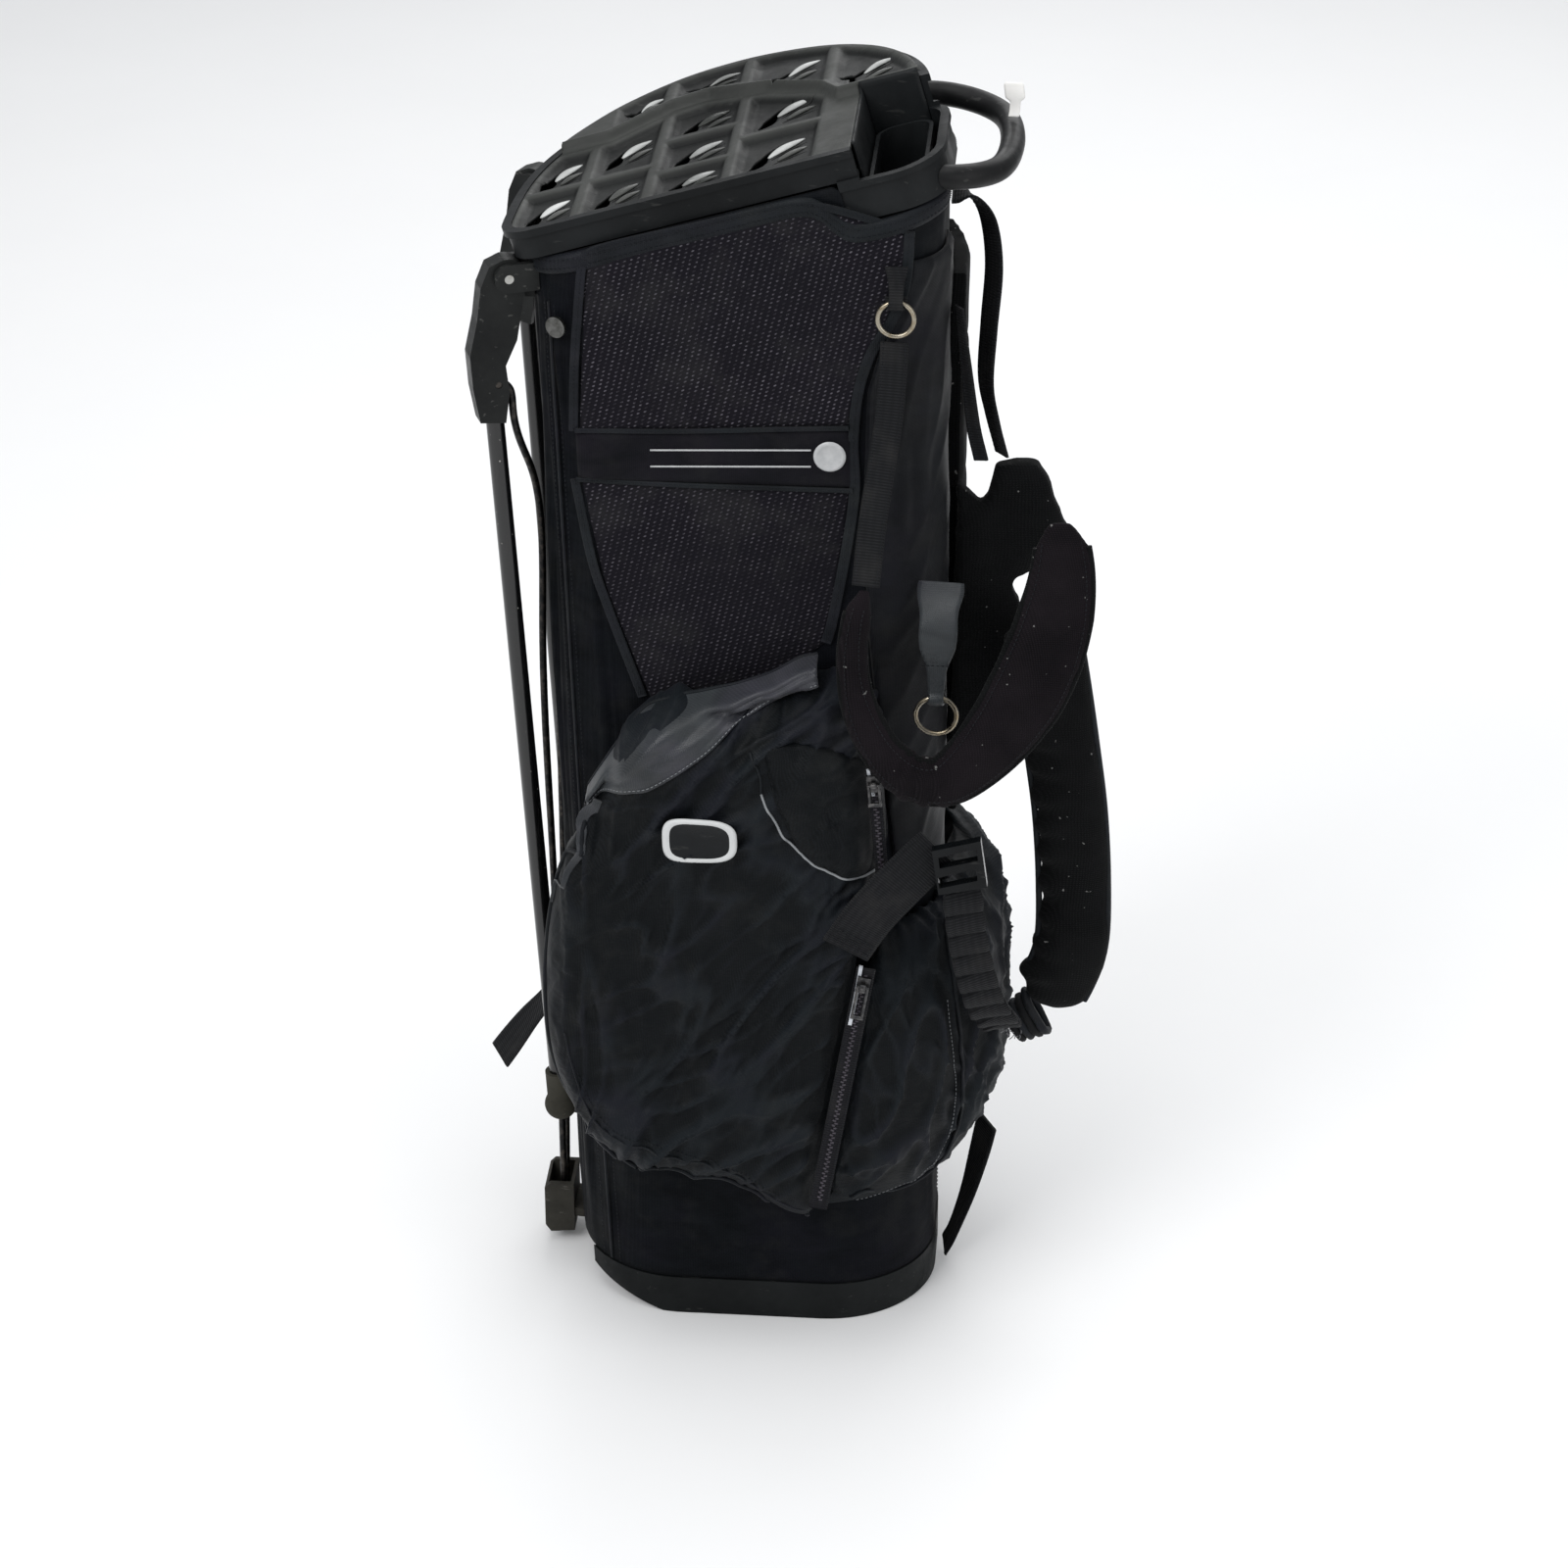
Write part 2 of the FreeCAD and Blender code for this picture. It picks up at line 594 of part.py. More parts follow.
def side_pocket():
    full = pillow(POCKET, ((-83, 0.98), (-118, 1.0), (-138, 0.965), (-148, 0.90)))
    low, high, far = zip_divide(1)
    strip = prism([low, high, (far, 345), (far, 60)], 260, start=-200)
    return full.cut(strip).cut(body(40, 700, 3.4))


def pocket_trim():
    """Band along the pocket's upper edge, a thin skin over the pocket."""
    outer = pillow(POCKET, ((-84, 1.03), (-118, 1.05), (-138, 1.01), (-150, 0.94)))
    inner = pillow(POCKET, ((-80, 0.99), (-118, 1.008), (-138, 0.975), (-148.4, 0.91)))
    pts = [(-101, 446), (-70, 444), (-36, 464), (5, 486), (30, 510), (50, 528), (54, 560), (0, 545)]
    pts += [(-62, 530), (-112, 462)]
    return outer.cut(inner).common(prism(pts, 80, start=-160)).cut(body(40, 700, 3.4))


def small_pocket():
    pts = ((24, 490), (31, 440), (44, 412), (68, 397), (86, 400), (88, 440), (84, 476), (60, 492))
    return pillow(pts, ((-148.4, 1.0), (-151.5, 0.97), (-154, 0.88)))


def ball_pocket():
    full = swell(((103, 8), (130, 26), (170, 41), (226, 48), (280, 44), (322, 30), (338, 18)))
    full = full.cut(body(60, 420, 3.4))
    low, high, far = zip_divide(1)
    strip = prism([(low[0] + 0.4, 60), (high[0] + 0.4, 345), (far, 345), (far, 60)], 350, start=-200)
    return full.common(strip).cut(box(-300, 300, 74, 300, 0, 500))


def far_pocket():
    pts = ((-96, 470), (-104, 320), (-98, 180), (-60, 140), (10, 132), (74, 142), (92, 190), (94, 340), (88, 480),
           (60, 540), (0, 552), (-60, 536))
    full = pillow(pts, ((70, 0.98), (118, 1.0), (134, 0.965), (141, 0.90)))
    return full.cut(body(40, 700, GAP))


def spine_pad():
    """Padding on the carrier's side, under the strap."""
    skin = body(372, 790, 12.0).cut(body(371, 791, GAP))
    return skin.common(box(60, 200, -34, 66, 380, 782))


# ---- Strap and webbing ----

def shoulder_pad_near():
    path = [(84, -157, 612), (79, -157, 590), (77, -157, 560), (82, -160, 530), (96, -164, 501), (116, -167, 483)]
    path += [(138, -167, 481), (158, -164, 496), (178, -160, 522), (194, -155, 552), (205, -148, 586)]
    path += [(210, -142, 620), (208, -135, 655)]
    widths = [16.0, 18.0, 20.0, 24.0, 28.0, 32.0, 38.0, 45.0, 50.0, 50.0, 46.0, 38.0, 30.0]
    return ribbon(path, widths, 13, in_view)


def yoke_pad():
    """The broad piece where both shoulder straps meet, folded down beside the bag."""
    pts = [(134, 641), (153, 628), (162, 655), (189, 658), (198, 647), (216, 607), (218, 587), (198, 581)]
    pts += [(180, 566), (190, 538), (186, 508), (169, 460), (150, 430), (134, 428)]
    return prism(pts, 14, start=-52)


def shoulder_pad_far():
    path = [(196, -76, 560), (205, -76, 510), (213, -76, 460), (220, -76, 410), (224, -76, 355), (224, -76, 310)]
    path += [(216, -76, 280), (205, -76, 258)]
    return ribbon(path, 50, 22, in_view)


def strap_collar():
    return ribbon([(194, -75, 245), (190, -76, 243.5), (186, -77, 242)], 36, 18, in_view)


def upper_webbing_loop():
    path = [(130, -14, 826), (142, -14, 827), (153, -14, 812), (158, -20, 782), (156, -28, 742), (155, -36, 708)]
    path += [(160, -42, 684), (167, -45, 659)]
    return ribbon(path, 24, 1.8, (0, 1, 0))


def webbing_tail():
    path = [(138, -64, 770), (142, -64, 738), (148, -64, 690), (154, -62, 662)]
    return ribbon(path, 10, 1.8, (0, 1, 0))


def front_webbing():
    path = [(99, -106.5, 762), (98, -108, 740), (96, -114, 710), (92, -125, 680), (88, -141, 650), (85, -156, 614)]
    return ribbon(path, 18, 1.8, (1, 0, 0.1))


def cross_webbing():
    path = [(74, -157, 344), (90, -164, 374), (108, -166, 398), (124, -163, 416), (135, -162, 427)]
    return ribbon(path, 34, 1.8, in_view)


def ladder_buckle():
    plate = prism([(131, 430), (163, 439), (168, 404), (136, 397)], 7, start=-171.5)
    bar = None
    for low in (0.14, 0.56):
        pts = [(136.5, 397 + 36 * low), (161.5, 404 + 36 * low), (160.5, 413 + 36 * low), (135.5, 405 + 36 * low)]
        cutout = prism(pts, 20, start=-176)
        bar = cutout if bar is None else bar.fuse(cutout)
    return plate.cut(bar)


def ladder_webbing():
    path = [(151, -160, 393), (154, -154, 362), (160, -146, 325), (168, -132, 290), (177, -112, 264), (179, -92, 250)]
    return ribbon(path, 27, 8, (1, 0.3, 0))


def base_anchor_webbing():
    path = [(168, -12, 118), (163, -12, 92), (155, -12, 56), (145, -12, 22), (139, -12, 8)]
    return ribbon(path, 26, 1.8, (0, 1, 0))


def ring(centre, r):
    return Part.makeTorus(r, RING_WIRE, V(*centre), V(0, 1, 0))


def ring_loop(centre, r, back):
    """A folded webbing tab with a sleeve that the top of a ring hangs in."""
    x, y, z = centre
    top = z + r
    sleeve = Part.makeCylinder(4.2, 8, V(x - 4, y, top - 0.4), V(1, 0, 0))
    strap = box(x - 4, x + 4, y, back, top + 1.5, top + 3.6)
    drop = box(x - 8, x + 8, back - 1.6, back, top - 6, top + 22)
    part = sleeve.fuse(strap).fuse(drop)
    return part.cut(Part.makeCylinder(2.9, 40, V(x - 20, y, top - 0.4), V(1, 0, 0)))


def side_ring_tab():
    return ring_loop(SIDE_RING, SIDE_RING_R, -102.6)


def towel_ring_tab():
    x, y, z = TOWEL_RING
    top = z + TOWEL_RING_R
    sleeve = Part.makeCylinder(4.2, 9, V(x - 4.5, y, top - 0.3), V(1, 0, 0))
    flap = prism([(x - 12, 522), (x + 13, 522), (x + 17, 572), (x - 14, 572)], 2.6, start=y - 1.3)
    neck = box(x - 4.5, x + 4.5, y - 1.3, y + 1.3, top + 1, 530)
    stay = ribbon([(x - 4, y + 1.8, 566), (x - 11, -104, 580), (x - 17, -94.4, 587)], 22, 2.4, (1, 0.6, 0))
    part = sleeve.fuse(flap).fuse(neck).fuse(stay)
    return part.cut(Part.makeCylinder(2.9, 40, V(x - 20, y, top - 0.3), V(1, 0, 0)))


def rivets():
    out = []
    for side in (-1, 1):
        y = -97.2 if side < 0 else 86.0
        x = -117.0 if side < 0 else -105.0
        way = V(-0.42, side * 0.9, 0)
        base = V(x, y, 762)
        out.append(Part.makeCylinder(7.0, 2.2, base + unit(V(way)).multiply(0.6), way))
    return Part.makeCompound(out)


# ---- Zips ----

def zip_track(top, end, side):
    a = V(*top)
    b = V(*end)
    t = unit(b - a)
    w = unit(t.cross(V(0, 1, 0)))
    half = V(w).multiply(4.0)
    depth = V(0, side * 1.6, 0)
    lift = V(0, side * 1.2, 0)
    start = a - V(t).multiply(6)
    stop = b + V(t).multiply(6)
    pts = [start - half + lift, stop - half + lift, stop + half + lift, start + half + lift, start - half + lift]
    return Part.Face(Part.makePolygon(pts)).extrude(depth)


def zip_slider(top, end, side):
    a = V(*top)
    t = unit(V(*end) - a)
    w = unit(t.cross(V(0, 1, 0)))
    p = a + V(t).multiply(6) + V(0, side * 3.2, 0)
    half = V(w).multiply(4.5)
    lng = V(t).multiply(6)
    pts = [p - half - lng, p + half - lng, p + half + lng, p - half + lng, p - half - lng]
    block = Part.Face(Part.makePolygon(pts)).extrude(V(0, side * 2.2, 0))
    eye = Part.makeCylinder(2.6, 3.4, p + V(0, side * 4.4, 0) - V(w).multiply(1.7), w)
    neck = Part.makeCylinder(1.2, 4.4, p, V(0, side, 0))
    part = block.fuse(eye).fuse(neck)
    return part.cut(Part.makeCylinder(1.3, 20, p + V(0, side * 4.6, 0) - V(w).multiply(10), w))


def zip_pull(top, end, side, length):
    a = V(*top)
    t = unit(V(*end) - a)
    w = unit(t.cross(V(0, 1, 0)))
    p = a + V(t).multiply(6) + V(0, side * 7.8, 0)
    pin = Part.makeCylinder(0.9, 8.4, p - V(w).multiply(4.2), w)
    body_ = None
    for s in (-1, 1):
        c = p + V(w).multiply(s * 3.4)
        bar = Part.makeCylinder(1.0, length, c, t)
        body_ = bar if body_ is None else body_.fuse(bar)
    cross = Part.makeCylinder(1.6, 8.8, p + V(t).multiply(length) - V(w).multiply(4.4), w)
    return pin.fuse(body_).fuse(cross)


def build():
    nodes = {}
    for maker in (base_cup, rocker_pin, base_rocker, bag_shell, top_cuff, divider_lower_tier,
                  divider_upper_tier, slot_tongues, putter_well, divider_sheets, lift_handle, handle_tag,
                  leg_bracket, bracket_screws, leg_strap, mesh_upper, mesh_band, mesh_lower,
                  strap_side_panel, side_pocket, pocket_trim, small_pocket, ball_pocket, far_pocket,
                  spine_pad, shoulder_pad_near, yoke_pad, shoulder_pad_far, strap_collar,
                  upper_webbing_loop, webbing_tail, front_webbing, cross_webbing, ladder_buckle,
                  ladder_webbing, base_anchor_webbing, side_ring_tab, towel_ring_tab, rivets):
        nodes[maker.__name__] = maker()
    for name, side in (("near", -1), ("far", 1)):
        nodes[name + "_leg_pin"] = leg_pin(side)
        nodes[name + "_leg_elbow"] = leg_elbow(side)
        nodes[name + "_leg_tube"] = leg_tube(side)
        nodes[name + "_leg_foot"] = leg_foot(side)
        nodes[name + "_push_rod"] = push_rod(side)
    nodes["side_ring"] = ring(SIDE_RING, SIDE_RING_R)
    nodes["towel_ring"] = ring(TOWEL_RING, TOWEL_RING_R)
    zips = (("main", ZIP_TOP, ZIP_END, -1, 24), ("small", SMALL_ZIP_TOP, SMALL_ZIP_END, -1, 14),
            ("far", FAR_ZIP_TOP, FAR_ZIP_END, 1, 24))
    for name, top, end, side, length in zips:
        nodes[name + "_zip_track"] = zip_track(top, end, side)
        nodes[name + "_zip_slider"] = zip_slider(top, end, side)
        nodes[name + "_zip_pull"] = zip_pull(top, end, side, length)
    return nodes


os.makedirs("parts", exist_ok=True)
for node, shape in build().items():
    shape.exportStep("parts/" + node + ".step")
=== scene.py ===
import math
import random

import bmesh
import bpy
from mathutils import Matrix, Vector, noise
from mathutils.bvhtree import BVHTree


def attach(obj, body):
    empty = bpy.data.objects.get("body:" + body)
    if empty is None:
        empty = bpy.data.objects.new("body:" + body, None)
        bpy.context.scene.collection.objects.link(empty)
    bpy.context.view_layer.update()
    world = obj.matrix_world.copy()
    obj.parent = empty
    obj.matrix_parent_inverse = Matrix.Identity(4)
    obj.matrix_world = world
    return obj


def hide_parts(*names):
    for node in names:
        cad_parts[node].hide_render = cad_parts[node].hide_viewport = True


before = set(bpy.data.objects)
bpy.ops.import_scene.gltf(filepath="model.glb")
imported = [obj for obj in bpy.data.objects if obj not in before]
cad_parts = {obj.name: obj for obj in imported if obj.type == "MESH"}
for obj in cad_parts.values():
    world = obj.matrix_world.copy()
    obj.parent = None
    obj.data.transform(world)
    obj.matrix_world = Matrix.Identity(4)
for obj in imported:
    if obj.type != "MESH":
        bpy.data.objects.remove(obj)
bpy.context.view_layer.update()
random.seed(11)
MM = 0.001
BAND_SCALE = 0.314  # wave texture scale that gives one band per metre of pitch


def field(x, y, z):
    """Smooth noise, about -1..1."""
    return noise.noise(Vector((x, y, z)))


# ------------------------------------------------------------------ body outline, as in the CAD
SECTIONS = (
    (0.0, -123.0, 132.0, -99.0, 99.0, 78.0, 86.0),
    (400.0, -129.0, 130.0, -99.0, 104.0, 52.0, 92.0),
    (920.0, -139.0, 127.0, -99.0, 112.0, 34.0, 100.0),
)
TILT = math.radians(16.44)
RIM_Z = 867.0
CT, ST = math.cos(TILT), math.sin(TILT)


def section(z, g=0.0):
    """Sides and corner radii of the body at a height, grown by g."""
    lo, hi = (SECTIONS[0], SECTIONS[1]) if z <= 400 else (SECTIONS[1], SECTIONS[2])
    t = (z - lo[0]) / (hi[0] - lo[0])
    xl, xr, yn, yf, rn, rf = [a + (b - a) * t for a, b in zip(lo[1:], hi[1:])]
    return xl - g, xr + g, yn - g, yf + g, rn + g, rf + g


def around(s, z, g=0.0):
    """Point and outward normal of the body at perimeter parameter s (0..8, near left corner first)."""
    xl, xr, yn, yf, rn, rf = section(z, g)
    s = s % 8.0
    k, f = int(s), s - int(s)
    if k % 2:
        start, cx, cy, r = ((270, xr - rn, yn + rn, rn), (0, xr - rf, yf - rf, rf),
                            (90, xl + rf, yf - rf, rf), (180, xl + rn, yn + rn, rn))[k // 2]
        a = math.radians(start + 90 * f)
        n = (math.cos(a), math.sin(a))
        return (cx + r * n[0], cy + r * n[1]), n
    if k == 0:
        return (xl + rn + (xr - xl - 2 * rn) * f, yn), (0, -1)
    if k == 2:
        return (xr, yn + rn + (yf - rf - yn - rn) * f), (1, 0)
    if k == 4:
        return (xr - rf - (xr - xl - 2 * rf) * f, yf), (0, 1)
    return (xl, yf - rf - (yf - rf - yn - rn) * f), (-1, 0)


def near_y(x, z, g=0.0):
    """y of the near face at (x, z)."""
    xl, xr, yn, _, rn, _ = section(z, g)
    x = min(max(x, xl), xr)
    if x < xl + rn:
        d = xl + rn - x
    elif x > xr - rn:
        d = x - (xr - rn)
    else:
        return yn
    return yn + rn - math.sqrt(max(rn * rn - d * d, 0))


def top(x, y, z):
    """A point given over the tilted plane of the top, in the bag's own frame."""
    return (x * CT - z * ST, y, RIM_Z + x * ST + z * CT)


# ------------------------------------------------------------------ node materials
class Mat:
    """A principled material, with short names for the nodes used here."""
    def __init__(self, name, rough=0.7, metal=0.0, spec=0.4, sheen=0.0, coat=0.0):
        self.m = bpy.data.materials.new(name)
        self.m.use_nodes = True
        self.t = self.m.node_tree
        self.b = self.t.nodes["Principled BSDF"]
        self.b.inputs["Roughness"].default_value = rough
        self.b.inputs["Metallic"].default_value = metal
        self.b.inputs["Specular IOR Level"].default_value = spec
        self.b.inputs["Sheen Weight"].default_value = sheen
        self.b.inputs["Sheen Roughness"].default_value = 0.5
        self.b.inputs["Coat Weight"].default_value = coat
        self.b.inputs["Coat Roughness"].default_value = 0.2
        self.c = self.node("ShaderNodeTexCoord")

    def node(self, kind, **kw):
        n = self.t.nodes.new(kind)
        for k, v in kw.items():
            setattr(n, k, v)
        return n

    def link(self, a, b):
        self.t.links.new(a, b)

    def coord(self, scale=(1, 1, 1), rot=(0, 0, 0), uv=False):
        n = self.node("ShaderNodeMapping")
        n.inputs["Scale"].default_value = scale
        n.inputs["Rotation"].default_value = rot
        self.link(self.c.outputs["UV" if uv else "Object"], n.inputs["Vector"])
        return n.outputs["Vector"]

    def noise(self, scale, detail=4, rough=0.55, vec=None, dist=0.0):
        n = self.node("ShaderNodeTexNoise")
        n.inputs["Scale"].default_value = scale
        n.inputs["Detail"].default_value = detail
        n.inputs["Roughness"].default_value = rough
        n.inputs["Distortion"].default_value = dist
        self.link(vec if vec is not None else self.c.outputs["Object"], n.inputs["Vector"])
        return n.outputs["Fac"]

    def bands(self, pitch, direction, vec):
        """Soft stripes, pitch in metres."""
        n = self.node("ShaderNodeTexWave", bands_direction=direction, wave_profile="SIN")
        n.inputs["Scale"].default_value = BAND_SCALE / pitch
        n.inputs["Distortion"].default_value = 0.0
        n.inputs["Detail"].default_value = 1.0
        self.link(vec, n.inputs["Vector"])
        return n.outputs["Fac"]

    def math(self, op, a, b):
        n = self.node("ShaderNodeMath", operation=op)
        for i, v in enumerate((a, b)):
            if isinstance(v, (int, float)):
                n.inputs[i].default_value = v
            else:
                self.link(v, n.inputs[i])
        return n.outputs[0]

    def times(self, a, b):
        return self.math("MULTIPLY", a, b)

    def step(self, fac, lo, hi):
        """0 below lo, 1 above hi."""
        return self.ramp(fac, [(lo, 0.0), (hi, 1.0)])

    def attribute(self, name):
        return self.node("ShaderNodeAttribute", attribute_name=name).outputs["Fac"]

    def ramp(self, fac, stops):
        n = self.node("ShaderNodeValToRGB")
        e = n.color_ramp.elements
        while len(e) < len(stops):
            e.new(0.5)
        for i, (p, c) in enumerate(stops):
            e[i].position = p
            e[i].color = (c, c, c, 1) if isinstance(c, (int, float)) else (*c, 1)
        self.link(fac, n.inputs["Fac"])
        return n.outputs["Color"]

    def mix(self, fac, a, b):
        n = self.node("ShaderNodeMix", data_type="RGBA")
        for sock, v in ((n.inputs[0], fac), (n.inputs[6], a), (n.inputs[7], b)):
            if isinstance(v, tuple):
                sock.default_value = (*v, 1)
            elif isinstance(v, (int, float)):
                sock.default_value = v
            else:
                self.link(v, sock)
        return n.outputs[2]

    def bump(self, h, dist, strength=1.0, base=None):
        n = self.node("ShaderNodeBump")
        n.inputs["Strength"].default_value = strength
        n.inputs["Distance"].default_value = dist
        self.link(h, n.inputs["Height"])
        if base is not None:
            self.link(base, n.inputs["Normal"])
        return n.outputs["Normal"]

    def done(self, color=None, rough=None, normal=None):
        if color is not None:
            self.link(color, self.b.inputs["Base Color"])
        if rough is not None:
            self.link(rough, self.b.inputs["Roughness"])
        if normal is not None:
            self.link(normal, self.b.inputs["Normal"])
        return self.m


def weave_height(m, pitch):
    """Over-and-under threads, pitch in metres."""
    v = m.coord(rot=(0, 0, math.radians(-45)))
    return m.times(m.bands(pitch, "X", v), m.bands(pitch, "Z", v))


def deep(c, k=0.42):
    """A colour scaled darker by the factor k."""
    return tuple(v * k for v in c)


def dust(m, color, light, amount, scale):
    """Patches of a paler colour over a colour."""
    n = m.noise(scale, 8, 0.65)
    f = m.times(m.step(n, 0.5, 0.72), amount)
    return m.mix(f, color, light)


def nylon(name, dark, light, rough=0.55, pitch=0.0011, creases=0.0012, sheen=0.01, spec=0.04, folds=False):
    """Woven cloth with fine diagonal creases; with folds, painted light and shade follow the shape's own
    creases, lighter on the ridges and darker in the valleys.
    """
    m = Mat(name, rough, 0, spec, sheen)
    dark, light = deep(dark), deep(light)
    big = m.noise(9, 5, 0.6)
    diag = m.noise(1, 7, 0.62, m.coord(scale=(26, 26, 58), rot=(0, math.radians(38), 0)), 0.6)
    tone = m.math("ADD", m.times(big, 0.5), m.times(diag, 0.5))
    # painted light and shade: the fold attribute, high on crease ridges and low in their valleys, steers the
    # tone between the light and dark colours
    if folds:
        tone = m.math("ADD", m.times(tone, 0.45), m.times(m.attribute("fold"), 0.55))
    warm = m.mix(m.step(m.noise(13, 4, 0.6), 0.45, 0.6), light,
                 (light[0] * 1.05, light[1] * 0.88, light[2] * 1.05))
    col = m.mix(m.step(tone, 0.38, 0.60), dark, warm)
    w = weave_height(m, pitch)
    col = m.mix(m.times(w, 0.35), col, tuple(min(1, c * 1.9) for c in light))
    col = dust(m, col, (0.026, 0.026, 0.024), 0.22, 30)
    n1 = m.bump(diag, creases, 0.55)
    n2 = m.bump(w, 0.00025, 0.5, n1)
    r = m.ramp(m.noise(22, 6, 0.6), [(0.3, rough - 0.12), (0.7, rough + 0.15)])
    return m.done(col, r, n2)


def plastic(name, dark, light, rough=0.5, scratch=0.5, grain=900, worn=(0.10, 0.10, 0.095), rib_wear_and_highlight=False,
            depth=0.42):
    """Moulded plastic or rubber with a fine grain, paler patches and scratches; with the rib flag, raised
    ribs are painted paler, partly wear and partly a painted highlight, and the sunken cells stay darker as
    painted shade.
    """
    m = Mat(name, rough, 0, 0.14)
    dark, light, worn = deep(dark, depth), deep(light, depth), deep(worn, depth)
    n = m.noise(14, 8, 0.6)
    col = m.mix(m.step(n, 0.35, 0.68), dark, light)
    s = m.noise(1, 3, 0.5, m.coord(scale=(60, 420, 260), rot=(0.5, 0.3, 0.7)))
    marks = m.step(s, 0.66, 0.72)
    col = m.mix(m.times(marks, scratch), col, worn)
    # raised ribs painted paler: partly wear, partly a painted highlight; the sunken cells left darker are
    # painted shade
    if rib_wear_and_highlight:
        col = m.mix(m.times(m.attribute("rib_wear_and_highlight"), m.math("ADD", n, 0.15)), col, (0.045, 0.047, 0.044))
    g = m.noise(grain, 2, 0.5)
    nrm = m.bump(g, 0.00015, 0.35)
    nrm = m.bump(marks, 0.0002, 0.4, nrm)
    r = m.ramp(m.noise(40, 6, 0.7), [(0.3, rough - 0.14), (0.72, rough + 0.16)])
    return m.done(col, r, nrm)


def spacer_mesh():
    """Three-layer mesh: slanted rows of pale threads over a dark ground."""
    m = Mat("mesh_cloth", 0.8, 0, 0.05, 0.02)
    v = m.coord(rot=(0, math.radians(-14), 0))
    rows = m.bands(0.0040, "X", v)
    beads = m.bands(0.0026, "Z", m.coord(rot=(0, math.radians(18), 0)))
    spot = m.times(rows, beads)
    pale = m.step(spot, 0.50, 0.80)
    pick = m.ramp(m.noise(480, 1, 0.4), [(0.42, 0.15), (0.62, 1.0)])
    wide = m.ramp(m.noise(7, 4, 0.6), [(0.34, 0.25), (0.66, 1.0)])
    base = m.mix(m.noise(10, 5, 0.6), (0.0035, 0.0034, 0.005), (0.010, 0.009, 0.0125))
    f = m.times(m.times(pale, pick), wide)
    col = m.mix(m.times(f, 0.95), base, (0.105, 0.098, 0.115))
    col = dust(m, col, (0.035, 0.035, 0.033), 0.25, 24)
    nrm = m.bump(spot, 0.0006, 0.7)
    return m.done(col, None, nrm)


def pad_cloth(name, dark, light, pitch=0.0016):
    """Open weave over padding, with specks of lint."""
    m = Mat(name, 0.85, 0, 0.06, 0.03)
    dark, light = deep(dark, 0.5), deep(light, 0.5)
    w = weave_height(m, pitch)
    n = m.noise(18, 6, 0.6)
    col = m.mix(m.step(n, 0.35, 0.68), dark, light)
    col = m.mix(m.times(w, 0.5), col, tuple(c * 2.0 for c in light))
    lint = m.step(m.noise(260, 1, 0.3), 0.775, 0.79)
    col = m.mix(m.times(lint, 0.5), col, (0.25, 0.25, 0.24))
    nrm = m.bump(w, 0.0004, 0.7)
    nrm = m.bump(m.noise(45, 5, 0.6), 0.0012, 0.4, nrm)
    return m.done(col, None, nrm)


def webbing_mat(name, dark=(0.006, 0.0065, 0.008), light=(0.022, 0.023, 0.026)):
    """Webbing: fine bars across the strap and broad ribs along it, laid on the UVs."""
    m = Mat(name, 0.7, 0, 0.12, 0.03)
    dark, light = deep(dark, 0.5), deep(light, 0.5)
    v = m.coord(uv=True)
    bars = m.bands(0.0019, "X", v)
    ribs = m.bands(0.0052, "Y", v)
    h = m.times(bars, m.math("ADD", m.times(ribs, 0.5), 0.5))
    n = m.noise(35, 6, 0.6)
    col = m.mix(h, dark, light)
    col = m.mix(m.times(m.step(n, 0.5, 0.75), 0.5), col, (0.024, 0.023, 0.022))
    nrm = m.bump(h, 0.0005, 0.8)
    return m.done(col, None, nrm)


def metal(name, color, rough, worn):
    """Metal with dull worn patches."""
    m = Mat(name, rough, 1.0, 0.5)
    n = m.noise(160, 6, 0.7)
    col = m.mix(m.step(n, 0.45, 0.7), color, worn)
    r = m.ramp(m.noise(300, 4, 0.6), [(0.3, rough - 0.08), (0.75, rough + 0.25)])
    nrm = m.bump(m.noise(500, 3, 0.5), 0.0001, 0.3)
    return m.done(col, r, nrm)


def paint_mat():
    """Gloss paint over a tube, with small chips down to bare metal."""
    m = Mat("leg_paint_look", 0.22, 0, 0.4, 0, 0.3)
    chips = m.step(m.noise(330, 2, 0.6), 0.735, 0.755)
    scuff = m.step(m.noise(1, 5, 0.6, m.coord(scale=(300, 300, 24))), 0.58, 0.8)
    col = m.mix(m.times(scuff, 0.35), (0.003, 0.003, 0.0033), (0.03, 0.029, 0.028))
    col = m.mix(chips, col, (0.42, 0.41, 0.38))
    r = m.ramp(scuff, [(0.0, 0.2), (1.0, 0.5)])
    return m.done(col, r, m.bump(chips, 0.0003, 0.5))


def simple_tint(name, color, color2, rough=0.5, scale=60, bump=0.0003):
    """Two close colours in small patches."""
    m = Mat(name, rough, 0, 0.5)
    n = m.noise(scale, 6, 0.6)
    return m.done(m.mix(n, color, color2), None, m.bump(n, bump, 0.5))


